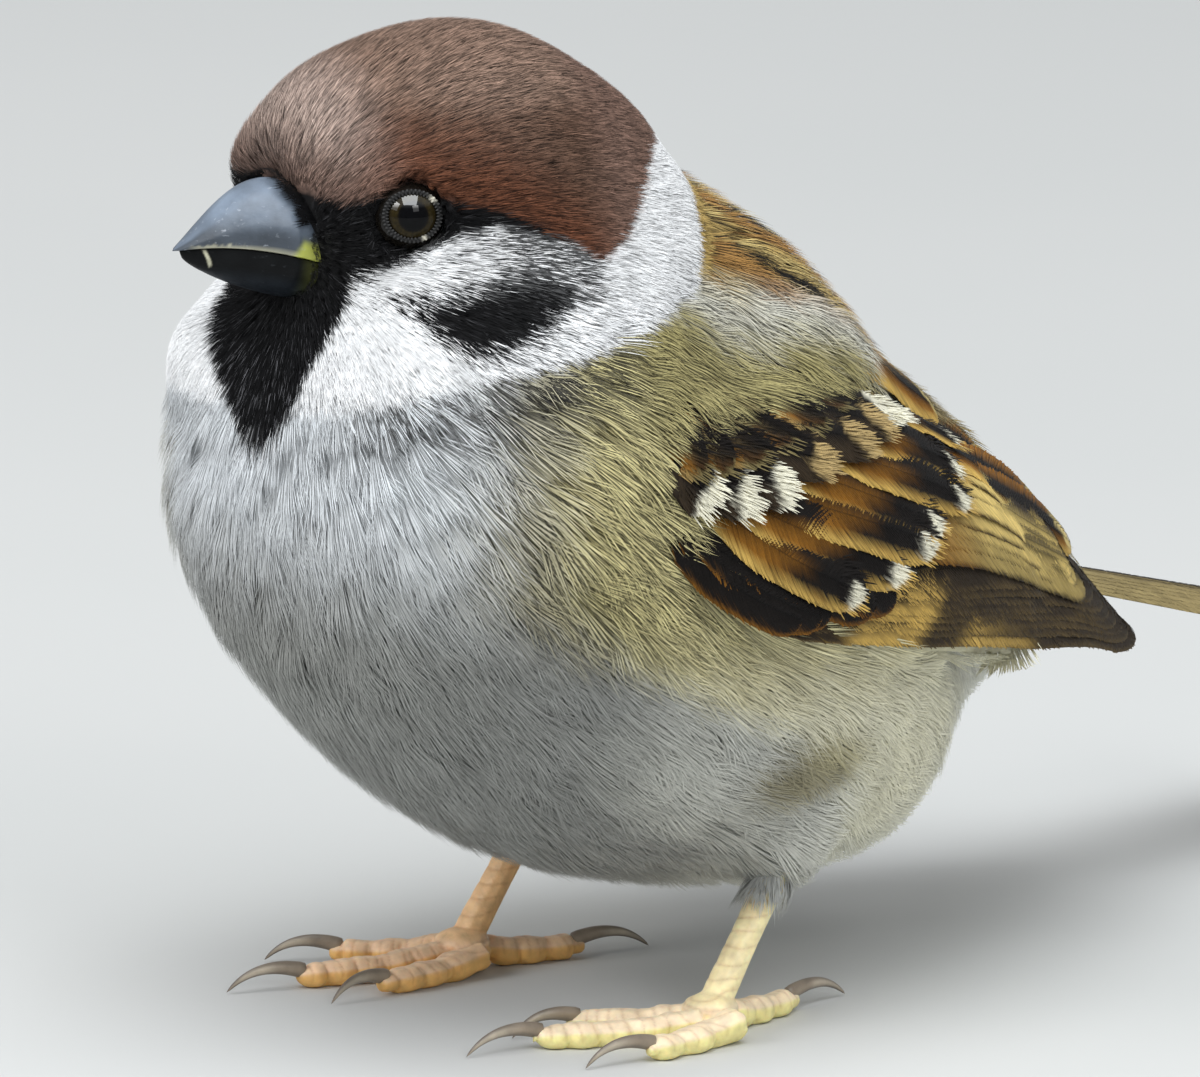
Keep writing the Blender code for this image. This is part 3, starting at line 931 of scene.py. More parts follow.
@dataclass(frozen=True)
class LidFinish:
    """Beaded bare skin round the eye."""

    name: str = "eye_ring_skin"

    def material(self) -> Material:
        """Makes the material."""
        recipe = Recipe(self.name, Specular_IOR_Level=0.22)
        colour = recipe.plumage()
        fine = recipe.noise(5.0, 3.0)
        light = recipe.between(fine, 0.6, 1.4, 0.3, 0.7)
        recipe.feed("Base Color", recipe.shaded(colour, light))
        recipe.feed("Roughness", recipe.between(fine, 0.4, 0.65))
        recipe.bump(fine, 0.03)
        return recipe.material


@dataclass(frozen=True)
class FloorFinish:
    """Pale matt floor."""

    name: str = "pale_floor"

    def material(self) -> Material:
        """Makes the material."""
        recipe = Recipe(self.name, Specular_IOR_Level=0.2, Roughness=0.8)
        cloud = recipe.noise(0.01, 3.0)
        recipe.feed("Base Color", recipe.tinted((0.55, 0.56, 0.55, 1), (0.60, 0.60, 0.59, 1), cloud))
        return recipe.material


# ---------------------------------------------------------------- barbs and feathers


def barb_blade(segments: int) -> tuple[Array, Array, Array]:
    """One barb as a thin blade that ends in a point.

    Args:
        segments: how many lengths it bends in.

    Returns:
        Its points (share along from 0 to 1, side from -1 to 1), its quads and its triangles.
    """
    blade = bmesh.new()
    bmesh.ops.create_grid(blade, x_segments=segments, y_segments=1, size=0.5)
    tip = [v for v in blade.verts if v.co.x > 0.49]
    bmesh.ops.pointmerge(blade, verts=tip, merge_co=Vector((0.5, 0.0, 0.0)))
    blade.verts.index_update()
    points = np.array([(v.co.x + 0.5, v.co.y * 2) for v in blade.verts])
    rings = [[v.index for v in f.verts] for f in blade.faces]
    quads, triangles = (np.array([r for r in rings if len(r) == n]).reshape(-1, n) for n in (4, 3))
    blade.free()
    return points, quads, triangles


@dataclass
class Fan:
    """A feather's barbs laid out flat, to be copied over the skin: x along, y across, z out.

    Attributes:
        middles: where each barb is seen best, along and across.
        owner: the barb that each point belongs to.
        share: how far along its barb each point is.
    """

    points: Array
    quads: Array
    triangles: Array
    owner: Array
    share: Array
    middles: Array
    length: float

    @classmethod
    def from_barbs(
        cls, starts: Array, bends: Array, ends: Array, half_width: float, segments: int, length: float
    ) -> "Fan":
        """Lays a blade along each barb's curve.

        Args:
            starts: where the barbs begin.
            bends: the places that they lean towards on the way.
            ends: where they end.
            half_width: of each blade, in millimetres.
            segments: how many lengths each blade bends in.
            length: of the whole tuft.

        Returns:
            The fan.
        """
        blade, quads, triangles = barb_blade(segments)
        along, side = blade[None, :, :1], blade[None, :, 1:]
        centre, heading = arc_through(starts[:, None], bends[:, None], ends[:, None], along)
        flat = np.stack([-heading[..., 1], heading[..., 0], np.zeros_like(heading[..., 0])], axis=-1)
        wide = half_width * (0.55 + 0.45 * np.sin(along * math.pi)) * (along < 0.999)
        points = centre + flat * side * wide
        count, size = len(starts), len(blade)
        offsets = (np.arange(count) * size)[:, None, None]
        return cls(
            points=points.reshape(-1, 3),
            quads=(quads[None] + offsets).reshape(-1, 4),
            triangles=(triangles[None] + offsets).reshape(-1, 3),
            owner=np.repeat(np.arange(count), size),
            share=np.tile(blade[:, 0], count),
            middles=(starts * 0.25 + bends * 0.35 + ends * 0.4)[:, :2],
            length=length,
        )

    @classmethod
    def lock(
        cls, rng: Rng, length: float, half_width: float, barbs: int, barb_width: float, segments: int = 2
    ) -> "Fan":
        """A small tuft of nearly parallel barbs.

        Args:
            rng: where small differences come from.
            length: of the tuft, in millimetres.
            half_width: how far it spreads to each side.
            barbs: how many it has.
            barb_width: half the width of each.
            segments: how many lengths each barb bends in.

        Returns:
            The fan.
        """
        starts, bends, ends = [], [], []
        for i in range(barbs):
            across = ((i + 0.5) / barbs * 2 - 1) * rng.uniform(0.9, 1.1)
            begin = length * rng.uniform(0.0, 0.30)
            reach = length * rng.uniform(0.74, 1.02) * (1 - 0.18 * across**2)
            lift = rng.normal(0, 0.04)
            starts.append((begin, across * half_width * 0.42, 0.0))
            bends.append(((begin + reach) / 2, across * half_width * 0.90, 0.07 + lift))
            ends.append((reach, across * half_width * 1.28 + rng.normal(0, 0.05), lift))
        return cls.from_barbs(np.array(starts), np.array(bends), np.array(ends), barb_width, segments, length)


@dataclass
class Growth:
    """How one kind of tuft grows.

    Attributes:
        fans: the tufts to pick from.
        depth: how far a tip stands out from the skin.
        root_shade: brightness at the roots.
        rub: how unevenly barbs are bright.
        edge_jitter: how far a barb's colour may come from beside it.
        sink: how deep the roots start.
        steepness: how soon a tuft rises.
        stagger: how unevenly tips stand out.
        gap: how dark the painted shade in the gaps between groups of barbs is.
        stripe: how many barbs stand in a group.
    """

    fans: list
    depth: float
    root_shade: float
    rub: float = 0.12
    edge_jitter: float = 0.3
    sink: float = 0.15
    steepness: float = 1.5
    stagger: float = 0.0
    gap: float = 0.6
    stripe: int = 3


@dataclass
class Roots:
    """Where tufts grow: places on the skin, normals, each tuft's scale and its turn from the lie."""

    places: Array
    normals: Array
    size: Array
    sway: Array

    def where(self, chosen: Array) -> "Roots":
        """Only the chosen ones."""
        return Roots(self.places[chosen], self.normals[chosen], self.size[chosen], self.sway[chosen])


@dataclass
class Coat:
    """Tufts laid over the skin along the lie of the plumage."""

    surface: Surface
    rng: Rng
    centre: Array
    curve: float = 18.0
    patch: float = 0.003
    flow: Judge = lie_of

    def grow(self, roots: Roots, growth: Growth, tint: Painter) -> Pieces:
        """Lays a tuft at each root.

        Args:
            roots: where they grow.
            growth: the kind of tuft.
            tint: gives the colours at points, for chances from 0 to 1 and places on the tuft.

        Returns:
            The tufts.
        """
        tufts = Pieces()
        heading = self.flow(roots.places, roots.normals)
        sideways = np.cross(roots.normals, heading)
        heading = heading * np.cos(roots.sway)[:, None] + sideways * np.sin(roots.sway)[:, None]
        kinds = self.rng.integers(0, len(growth.fans), len(heading))
        for kind, fan in enumerate(growth.fans):
            own = kinds == kind
            if own.any():
                self._lay(tufts, roots.where(own), heading[own], growth, fan, tint)
        return tufts

    def _lay(
        self, into: Pieces, roots: Roots, heading: Array, growth: Growth, fan: Fan, tint: Painter
    ) -> None:
        """Lays copies of one fan, bent along the skin.

        Args:
            into: where the copies go.
            roots: where they grow.
            heading: the way that each one points.
            growth: the kind of tuft.
            fan: the tuft.
            tint: gives the colours, as for grow.
        """
        start, normals, size = roots.places, roots.normals, roots.size
        length = (fan.length * size)[:, None]
        raised = self.rng.uniform(-growth.stagger, growth.stagger, len(start))
        middle, middle_normal = self.surface.nearest(start + heading * length * 0.5)
        onward = unit(middle - start)
        end, end_normal = self.surface.nearest(middle + onward * length * 0.5)

        def place(along: Array, across: Array, out: Array) -> Array:
            """Carries millimetres along, across and out of the fan to every root."""
            share = along[None, :, None] / fan.length
            spine = (
                start[:, None] * (1 - share) * (1 - 2 * share)
                + middle[:, None] * 4 * share * (1 - share)
                + end[:, None] * share * (2 * share - 1)
            )
            up = unit(
                normals[:, None] * (1 - share) ** 2
                + middle_normal[:, None] * 2 * share * (1 - share)
                + end_normal[:, None] * share**2
            )
            ahead = unit((middle - start)[:, None] * (1 - share) + (end - middle)[:, None] * share)
            side = np.cross(up, ahead)
            wide = across[None] * size[:, None]
            rise = growth.depth * (1 - (1 - share[..., 0]) ** growth.steepness) - growth.sink
            rise = rise + raised[:, None] * share[..., 0]
            height = out[None] + rise - wide**2 / (2 * self.curve)
            return spine + side * wide[..., None] + up * height[..., None]

        points = place(fan.points[:, 0], fan.points[:, 1], fan.points[:, 2])
        barbs = place(fan.middles[:, 0], fan.middles[:, 1], np.zeros(len(fan.middles)))
        count, size_of = points.shape[:2]
        chance = self.rng.random(barbs.shape[:2])
        jitter = self.rng.normal(0, growth.edge_jitter, barbs.shape)
        flat = np.broadcast_to(fan.middles[None], (count, *fan.middles.shape)).reshape(-1, 2)
        colour = tint((barbs + jitter).reshape(-1, 3), chance.ravel(), flat).reshape(*barbs.shape)
        rub = 1 + self.rng.uniform(-growth.rub, growth.rub, barbs.shape[:2])
        rub *= 1 + self.rng.normal(0, growth.rub * 0.4, (count, 1))
        bright = smooth_step(colour.mean(axis=2) - 0.45, 0.3)
        rub = 1 + (rub - 1) * (1 - 0.6 * bright)
        # painted shade in the gaps: one barb in each group darkened, most where the contrast is high
        line = np.arange(barbs.shape[1])[None] + self.rng.integers(0, growth.stripe, (count, 1))
        contrast = MARKINGS.contrast(barbs.reshape(-1, 3)).reshape(barbs.shape[:2])
        rub *= 1 - growth.gap * contrast * (line % growth.stripe == 0)
        colour = (colour * rub[..., None])[:, fan.owner]
        dim = (1 - growth.root_shade) * (0.35 + 0.65 * contrast.mean(axis=1, keepdims=True))
        dim = dim * (1 - 0.45 * bright.mean(axis=1, keepdims=True))
        shade = 1 - dim * (1 - np.clip(fan.share * 1.7, 0, 1))[None]
        colour = np.clip(colour * shade[..., None], 0, 0.93)
        offsets = (np.arange(count) * size_of)[:, None, None]
        home = unwrap(start, self.centre)
        spread = np.stack([fan.points[:, 0] / fan.length - 0.5, fan.points[:, 1] / fan.length], axis=1)
        into.add(
            points.reshape(-1, 3),
            (fan.quads[None] + offsets).reshape(-1, 4),
            (fan.triangles[None] + offsets).reshape(-1, 3),
            colour.reshape(-1, 3),
            (home[:, None] + spread[None] * self.patch).reshape(-1, 2),
            np.tile(fan.points[:, :2], (count, 1)),
        )


# ---------------------------------------------------------------- wing form


def smooth_path(points: Array, at: Array) -> Array:
    """A smooth curve through points.

    Args:
        points: the points it passes.
        at: shares of the way along, from 0 to 1; further out it goes on straight.

    Returns:
        The places on the curve (Catmull-Rom).
    """
    ends = np.concatenate([[2 * points[0] - points[1]], points, [2 * points[-1] - points[-2]]])
    place = np.clip(at, 0, 1) * (len(points) - 1)
    k = np.minimum(place.astype(int), len(points) - 2)
    t = (place - k)[:, None]
    a, b, c, d = ends[k], ends[k + 1], ends[k + 2], ends[k + 3]
    curve = 0.5 * (2 * b + (c - a) * t + (2 * a - 5 * b + 4 * c - d) * t**2 + (3 * (b - c) + d - a) * t**3)
    over = (at - np.clip(at, 0, 1))[:, None] * (len(points) - 1)
    return curve + over * (c - b)


@dataclass
class WingForm:
    """The outer surface of a folded wing: shares along it (0 to 1) and across it (-1 low to 1 high)."""

    # middle, direction of the upper edge, half width, share of the thickness
    stations: tuple = (
        ((19.8, -14.5, 46.6), (-0.36, -0.10, 0.93), 5.0, 0.60),
        ((21.0, -10.5, 45.4), (-0.40, -0.06, 0.91), 9.0, 0.85),
        ((21.5, -3.0, 43.0), (-0.43, 0.00, 0.90), 11.7, 1.0),
        ((20.7, 8.0, 39.8), (-0.47, 0.10, 0.88), 11.8, 1.0),
        ((18.0, 20.5, 35.8), (-0.52, 0.24, 0.82), 11.2, 0.95),
        ((14.2, 31.5, 31.0), (-0.58, 0.34, 0.74), 9.4, 0.82),
        ((10.8, 41.0, 26.8), (-0.60, 0.40, 0.69), 6.6, 0.62),
        ((8.4, 47.5, 23.5), (-0.58, 0.42, 0.70), 4.3, 0.46),
        ((6.2, 53.5, 20.6), (-0.56, 0.42, 0.71), 1.6, 0.32),
    )
    thickness: float = 4.6
    # along and across: where the shoulder's feathers end over the wing's own
    shoulder_edge: tuple = (
        (-0.1, 0.05), (0.04, 0.22), (0.09, 0.41), (0.18, 0.51), (0.26, 0.55), (0.33, 0.62), (0.40, 0.78),
        (0.47, 1.0), (0.54, 1.3),
    )
    front_edge: float = 0.055
    tree: KDTree = field(init=False)
    grid: Array = field(init=False)

    def __post_init__(self) -> None:
        """Prepares the search for the nearest share."""
        along, across = np.meshgrid(np.linspace(0, 1, 91), np.linspace(-1, 1.3, 47), indexing="ij")
        self.grid = np.stack([along.ravel(), across.ravel()], axis=1)
        points = self.surface(self.grid)[0]
        self.tree = KDTree(len(points))
        for i, point in enumerate(points):
            self.tree.insert(point, i)
        self.tree.balance()

    def surface(self, track: Array) -> tuple[Array, Array, Array]:
        """The left wing's outer surface at shares along and across.

        Args:
            track: shares along and across.

        Returns:
            The places, the outward direction and the half width there.
        """
        data = [np.array([s[k] for s in self.stations], float) for k in range(4)]
        middles, edges = data[0], unit(data[1])
        sizes = np.stack([data[2], data[3], data[2]], axis=1)
        along, across = track[:, 0], track[:, 1]
        middle, edge, size = (smooth_path(values, along) for values in (middles, edges, sizes))
        ahead = unit(smooth_path(middles, along + 0.03) - smooth_path(middles, along - 0.03))
        out = unit(np.cross(ahead, edge))
        rise = unit(np.cross(out, ahead))
        half_width, thick = size[:, 0], size[:, 1] * self.thickness
        bulge = thick / 2 * np.sqrt(np.clip(1 - across**2, 0, 1)) - 0.016 * half_width**2 * across**2
        points = middle + rise * (half_width * across)[:, None] + out * bulge[:, None]
        return points, out, half_width

    def shares(self, points: Array) -> tuple[Array, Array, Array]:
        """The nearest places on either wing.

        Args:
            points: places in bird millimetres.

        Returns:
            Shares along, shares across and distances.
        """
        mirrored = np.column_stack([np.abs(points[:, 0]), points[:, 1:]])
        found = [self.tree.find(point) for point in mirrored]
        index = np.array([f[1] for f in found])
        return self.grid[index, 0], self.grid[index, 1], np.array([f[2] for f in found])

    def covers(self, points: Array) -> Array:
        """Whether the wing's long feathers, and not the body's, cover each point."""
        along, across, distance = self.shares(points)
        top = Markings.line(self.shoulder_edge, along)
        near = distance < np.where(across < -0.9, 1.2 + 2.6 * (along > 0.42), 3.2)
        return near & (along > self.front_edge) & (across < top)


WING_FORM = WingForm()


# ---------------------------------------------------------------- body


@dataclass
class Body:
    """The one skin of head, neck, trunk, thighs and shoulders, and how deep its coat is."""

    voxel: float = 0.5
    seed: int = 11
    crown_depth: float = 0.75
    body_depth: float = 1.3
    flesh: tuple = (
        "head", "neck", "trunk", "thigh_left", "thigh_right",
        "wing_left_coverts", "wing_right_coverts", "wing_left_secondaries", "wing_right_secondaries",
    )
    trunk_centre: tuple = (0.0, 2.0, 33.0)
    # middle in the head's frame, reach and height of the places where feathers are puffed up
    puffs: tuple = (
        ((11.4, -0.8, 10.2), 6.2, 1.75),
        ((13.0, -5.2, 4.6), 3.4, 1.2),
        ((15.4, -8.2, -10.2), 4.8, 2.1),
        ((-14.0, 2.0, 9.0), 5.0, 0.9),
    )
    # middle, reach and height of the mounds over the tops of the legs
    mounds: tuple = (((13.4, 5.4, 12.2), 3.2, 1.9), ((-13.4, 7.0, 12.2), 3.2, 1.9))
    outline: Surface = field(init=False)
    skin: Surface = field(init=False)

    def depth(self, points: Array) -> Array:
        """How deep the coat is at each point.

        Args:
            points: places on the outline.

        Returns:
            The depths in millimetres, less than nought where feathers are puffed out past the outline.
        """
        local = BIRD.to_head(points)
        above = smooth_step(MARKINGS.on_head(points), 8)
        deep = self.body_depth + (self.crown_depth - self.body_depth) * above
        from_bill = np.linalg.norm(local - (13.0, 0.0, 0.5), axis=1)
        deep = deep * (0.35 + 0.65 * smooth_step(from_bill - 5, 9))
        deep = deep + 0.5 * WING_FORM.covers(points)
        from_eye = np.linalg.norm(local - self.beside_eye(local), axis=1)
        deep = deep * (0.2 + 0.8 * smooth_step(from_eye - 3.3, 2.0))
        deep = deep * (0.5 + 0.5 * smooth_step(points[:, 2] - 13.5, 6))
        off_bill = smooth_step(np.hypot(local[:, 1] / 4.7, (local[:, 2] - 0.7) / 5.2) - 1.1, 0.4)
        for middle, reach, height in self.puffs:
            far = np.linalg.norm(local - middle, axis=1) / reach
            deep = deep - height * np.exp(-(far**2)) * off_bill
        for middle, reach, height in self.mounds:
            deep = deep - height * np.exp(-((np.linalg.norm(points - middle, axis=1) / reach) ** 2))
        return deep

    @staticmethod
    def beside_eye(local: Array) -> Array:
        """The middle of the nearer eye's opening for each point in the head's frame."""
        opening = np.tile([8.6, 10.7, 3.8], (len(local), 1))
        opening[:, 1] *= np.sign(local[:, 1])
        return opening

    def build(self) -> None:
        """Makes the skin from copies of the flesh nodes, sunk by the depth of the coat."""
        shell = remeshed(joined_copy(list(self.flesh)), self.voxel * MM, 12)
        self.outline = Surface.of(shell)
        points = self.outline.points - self.outline.normals * self.depth(self.outline.points)[:, None]
        move_to(shell, points)
        mesh = remeshed(shell, self.voxel * MM, 4)
        self.skin = Surface.of(mesh)
        chance = np.random.default_rng(self.seed).random(len(self.skin.points))
        # the skin painted darker than the markings: partly grey down, partly painted shade under the coat
        paint(mesh, MARKINGS.colour(self.skin.points, chance) * 0.7)
        mesh.shade_smooth()
        skin = show("body_skin", mesh, PlumageFinish("under_down_and_shade", roughness=0.8).material())
        finish_piece(skin, "body_plumage", *self.flesh)


@dataclass
class HeadCoat:
    """Hair-like barbs of the crown, mask, cheeks, bib and collar."""

    body: Body
    seed: int = 21
    per_square: float = 15.0
    length: float = 2.7
    half_width: float = 0.30
    barbs: int = 5
    barb_width: float = 0.042

    def dress(self) -> None:
        """Grows the head's coat, one piece to each region."""
        rng = np.random.default_rng(self.seed)
        fans = [Fan.lock(rng, self.length, self.half_width, self.barbs, self.barb_width) for _ in range(8)]
        depth = self.body.crown_depth + 0.15
        growth = Growth(fans, depth, root_shade=0.30, rub=0.30, edge_jitter=0.16, gap=0.80, stripe=4)
        finish = PlumageFinish("head_barbs", roughness=0.6, specular=0.10).material()
        centre = BIRD.from_head(np.array([[1.0, 0.0, -1.0]]))[0]
        coat = Coat(self.body.skin, rng, centre, curve=12.0)

        def on_head(points: Array, normals: Array) -> Array:
            """Keeps to the head, clear of the eyes and the bill."""
            local = BIRD.to_head(points)
            clear = np.linalg.norm((local - Body.beside_eye(local)) * (0.92, 1.0, 1.0), axis=1)
            bill = (local[:, 0] > 13.0) & (np.abs(local[:, 1]) < 4.2) & (np.abs(local[:, 2] - 0.6) < 3.6)
            return (MARKINGS.on_head(points) > -1.2) & (clear > 2.0) & ~bill

        roots, normals = self.body.skin.scatter(self.per_square, rng, on_head)
        crown = MARKINGS.on_crown(roots)
        front = BIRD.to_head(roots)[:, 0]
        left = BIRD.to_head(roots)[:, 1] > 0
        parts = {
            "crown_left_feathers": (crown > 0) & left,
            "crown_right_feathers": (crown > 0) & ~left,
            "face_left_feathers": (crown <= 0) & (front > -1) & left,
            "face_right_feathers": (crown <= 0) & (front > -1) & ~left,
            "collar_feathers": (crown <= 0) & (front <= -1),
        }
        for name, chosen in parts.items():
            near = BIRD.to_head(roots[chosen])
            close = smooth_step(np.linalg.norm(near - (12.0, 0, 0.5), axis=1) - 5.5, 8)
            beside = smooth_step(np.linalg.norm(near - Body.beside_eye(near), axis=1) - 3.2, 2.5)
            size = (0.42 + 0.58 * close) * (0.5 + 0.5 * beside) * rng.uniform(0.85, 1.15, chosen.sum())
            sway = rng.normal(0, 0.09, chosen.sum())
            tufts = coat.grow(
                Roots(roots[chosen], normals[chosen], size, sway), growth,
                lambda points, chance, flat: MARKINGS.colour(points, chance),
            )
            slot = "crown_plumage" if name.startswith("crown") else "collar_plumage"
            finish_piece(tufts.object(name, finish), slot)


@dataclass
class NasalBristles:
    """Short black bristles that lie forward over the base of the bill and its nostrils."""

    bill: Surface
    seed: int = 61
    per_square: float = 14.0
    # up and forward: where the bristles end
    front: tuple = ((0.9, 12.2), (1.5, 13.6), (2.0, 14.9), (3.0, 15.4), (3.8, 15.6), (4.6, 15.3), (5.4, 15.0))
    length: float = 1.9
    half_width: float = 0.30
    barbs: int = 5
    barb_width: float = 0.042

    @staticmethod
    def lie(points: Array, normals: Array) -> Array:
        """Forward, and a little up the side."""
        turn = np.array(BIRD.head.to_3x3())
        return flattened(np.tile(turn @ np.array([1.0, 0.0, 0.28]), (len(points), 1)), normals)

    def dress(self) -> None:
        """Grows them as one piece."""
        rng = np.random.default_rng(self.seed)
        fans = [Fan.lock(rng, self.length, self.half_width, self.barbs, self.barb_width) for _ in range(6)]
        growth = Growth(fans, depth=0.45, root_shade=0.6, rub=0.3, sink=-0.25, gap=0.0, steepness=2.5)

        def behind_front(points: Array, normals: Array) -> Array:
            """Keeps to the bill's base, behind the line where the bristles end."""
            local = BIRD.to_head(points)
            limit = MARKINGS.line(self.front, local[:, 2]) - self.length * 0.75
            return (local[:, 0] < limit) & (local[:, 0] > 11.5) & (local[:, 2] > 1.0)

        roots, normals = self.bill.scatter(self.per_square, rng, behind_front)
        coat = Coat(self.bill, rng, BIRD.from_head(np.array([[10.0, 0, 0]]))[0], curve=5.0, flow=self.lie)
        size, sway = rng.uniform(0.6, 1.1, len(roots)), rng.normal(0, 0.25, len(roots))
        bristles = coat.grow(
            Roots(roots, normals, size, sway), growth, lambda points, chance, flat: plain(Tint.BLACK, points)
        )
        finish = PlumageFinish("bristles", roughness=0.55, specular=0.12).material()
        finish_piece(bristles.object("nasal_bristles", finish), "collar_plumage")


@dataclass
class BodyCoat:
    """Loose feathers of the breast, belly, flanks, shoulders, mantle and rump."""

    body: Body
    seed: int = 31
    per_square: float = 6.0
    spacing: float = 1.55
    length: float = 7.8
    half_width: float = 1.95
    barbs: int = 36
    barb_width: float = 0.045
    segments: int = 3
    # how far from its root a feather would show over the wing
    reach: float = 6.0

    @staticmethod
    def mantle_tint(points: Array, chance: Array, flat: Array) -> Array:
        """Buff feathers of the back, each with a black streak on one side of its middle.

        Args:
            points: places in bird millimetres.
            chance: from 0 to 1 for each place.
            flat: places on the tuft, along and across.

        Returns:
            The colours; off the mantle they are the markings' own.
        """
        colour = MARKINGS.colour(points, chance)
        on_mantle = smooth_step(MARKINGS.on_mantle(points), 1.5) * smooth_step(26 - points[:, 1], 6)
        across = flat[:, 1] * np.sign(points[:, 0] + 1e-6)
        lane = (np.abs(points[:, 0]) + 0.5 * np.sin(points[:, 1] * 0.5)) % 4.4
        broken = np.sin(points[:, 1] * 0.45 + np.floor(np.abs(points[:, 0]) / 4.4) * 2.1) > -0.82
        streak = smooth_step(0.55 - np.abs(lane - 2.0), 0.3) * broken * (across > -1.1)
        rufous = smooth_step(0.8 - np.abs(lane - 3.4), 0.8)
        pale = smooth_step(0.35 - np.abs(lane - 0.9), 0.3)
        colour = mix(colour, Tint.MANTLE_RUFOUS, on_mantle * rufous * 0.65)
        colour = mix(colour, Tint.PALE_BUFF, on_mantle * pale * 0.6)
        return mix(colour, Tint.WING_BLACK, on_mantle * streak)

    def dress(self) -> None:
        """Grows the trunk's coat, one piece to each region."""
        rng = np.random.default_rng(self.seed)
        shape = (self.length, self.half_width, self.barbs, self.barb_width, self.segments)
        fans = [Fan.lock(rng, *shape) for _ in range(9)]
        growth = Growth(
            fans, depth=self.body.body_depth + 0.25, root_shade=0.30, rub=0.10,
            edge_jitter=0.35, steepness=1.15, stagger=0.20, gap=0.84,
        )
        finish = PlumageFinish("body_barbs").material()
        coat = Coat(self.body.skin, rng, np.array(self.body.trunk_centre))

        def below_head(points: Array, normals: Array) -> Array:
            """Keeps to the body, where the wings' own feathers don't cover it."""
            return (MARKINGS.on_head(points) < 1.0) & ~WING_FORM.covers(points)

        roots, normals = self.body.skin.scatter(self.per_square, rng, below_head)
        order = rng.permutation(len(roots))
        roots, normals = roots[order], normals[order]
        kept = spaced(roots, self.spacing)
        roots, normals = roots[kept], normals[kept]
        tips = roots + lie_of(roots, normals) * self.reach
        along, across, off = WING_FORM.shares(tips)
        stray = (along > 0.43) & (across > -0.97) & (off < 2.0) & (tips[:, 2] < 36)
        roots, normals = roots[~stray], normals[~stray]
        size = 0.72 + 0.28 * smooth_step(-MARKINGS.on_head(roots) - 6, 14)
        size *= 0.45 + 0.55 * smooth_step(roots[:, 2] - 12.5, 7)
        size *= rng.uniform(0.88, 1.12, len(roots))
        ground = Roots(roots, normals, size, rng.normal(0, 0.16, len(roots)))
        across, back, up = roots.T
        mantle = MARKINGS.on_mantle(roots) > -1
        rear = ~mantle & (back > 14)
        front = ~mantle & ~rear
        parts = {
            "mantle_feathers": mantle,
            "vent_feathers": rear,
            "breast_left_feathers": front & (across >= 0) & (up >= 36),
            "breast_right_feathers": front & (across < 0) & (up >= 36),
            "belly_left_feathers": front & (across >= 0) & (up < 36),
            "belly_right_feathers": front & (across < 0) & (up < 36),
        }
        for name, chosen in parts.items():
            kind = replace(growth, edge_jitter=0.10) if name.startswith("mantle") else growth
            tufts = coat.grow(ground.where(chosen), kind, self.mantle_tint)
            finish_piece(tufts.object(name, finish), "body_plumage")


# ---------------------------------------------------------------- vanes


class VaneKind(Enum):
    """The kinds of long feather, which differ in pattern and shape."""

    PRIMARY = "primary"
    SECONDARY = "secondary"
    TERTIAL = "tertial"
    GREATER_COVERT = "greater_covert"
    MEDIAN_COVERT = "median_covert"
    PRIMARY_COVERT = "primary_covert"
    LESSER_COVERT = "lesser_covert"
    RECTRIX = "rectrix"


@dataclass(frozen=True)
class VaneRow:
    """A row of feathers: the lines that their roots and their tips stand on, as wing shares.

    Attributes:
        half_widths: of the first and the last feather, in millimetres.
        heights: how far roots and tips stand out from the wing's surface.
        tilt: how much each outer edge stands above the inner edge, to each millimetre.
    """

    kind: VaneKind
    count: int
    roots: tuple
    tips: tuple
    half_widths: tuple
    heights: tuple
    tilt: float = 0.08

    def ends(self, rank: float) -> tuple[Array, Array, float]:
        """Root, tip and half width of one feather.

        Args:
            rank: its place in the row, from 0 to 1.

        Returns:
            Its root and tip as wing shares, and its half width.
        """
        places = []
        for line in (self.roots, self.tips):
            points = np.array(line, float)
            steps = np.linspace(0, 1, len(points))
            places.append(np.array([np.interp(rank, steps, points[:, k]) for k in (0, 1)]))
        return places[0], places[1], self.half_widths[0] * (1 - rank) + self.half_widths[1] * rank


@dataclass
class VaneShape:
    """One feather as a flat grid with a rounded end, thick enough to be solid."""

    along: int = 20
    across: int = 10
    thickness: float = 0.07

    def template(self) -> tuple[Array, Array]:
        """The grid's points (share along, share across, over or under) and its quads."""
        grid = bmesh.new()
        bmesh.ops.create_grid(grid, x_segments=self.along, y_segments=self.across, size=0.5)
        bmesh.ops.solidify(grid, geom=grid.faces[:], thickness=0.02)
        bmesh.ops.recalc_face_normals(grid, faces=grid.faces)
        grid.verts.index_update()
        heights = [v.co.z for v in grid.verts]
        middle = (min(heights) + max(heights)) / 2
        points = np.array([(v.co.x + 0.5, v.co.y * 2, 1.0 if v.co.z > middle else -1.0) for v in grid.verts])
        points[:, :2] = np.clip(points[:, :2], (0, -1), (1, 1))
        points[:, 0] = 1 - (1 - points[:, 0]) ** 1.7
        quads = np.array(settled(grid.faces))
        grid.free()
        return points, quads


def vane_outline(kind: VaneKind, along: Array) -> Array:
    """Share of the full half width at each share along a feather.

    Args:
        kind: which feather it is.
        along: shares from root to tip.

    Returns:
        The shares of the half width.
    """
    blunt = {
        VaneKind.PRIMARY: 0.14, VaneKind.SECONDARY: 0.12, VaneKind.TERTIAL: 0.20, VaneKind.RECTRIX: 0.08,
        VaneKind.GREATER_COVERT: 0.26, VaneKind.MEDIAN_COVERT: 0.38, VaneKind.PRIMARY_COVERT: 0.2,
        VaneKind.LESSER_COVERT: 0.4,
    }[kind]
    end = np.sqrt(np.clip(1 - (np.clip(along - (1 - blunt), 0, None) / blunt) ** 2, 0.0, 1))
    root = 0.35 + 0.65 * np.clip(along / 0.3, 0, 1) ** 0.7
    return np.maximum(end * root, 0.02)


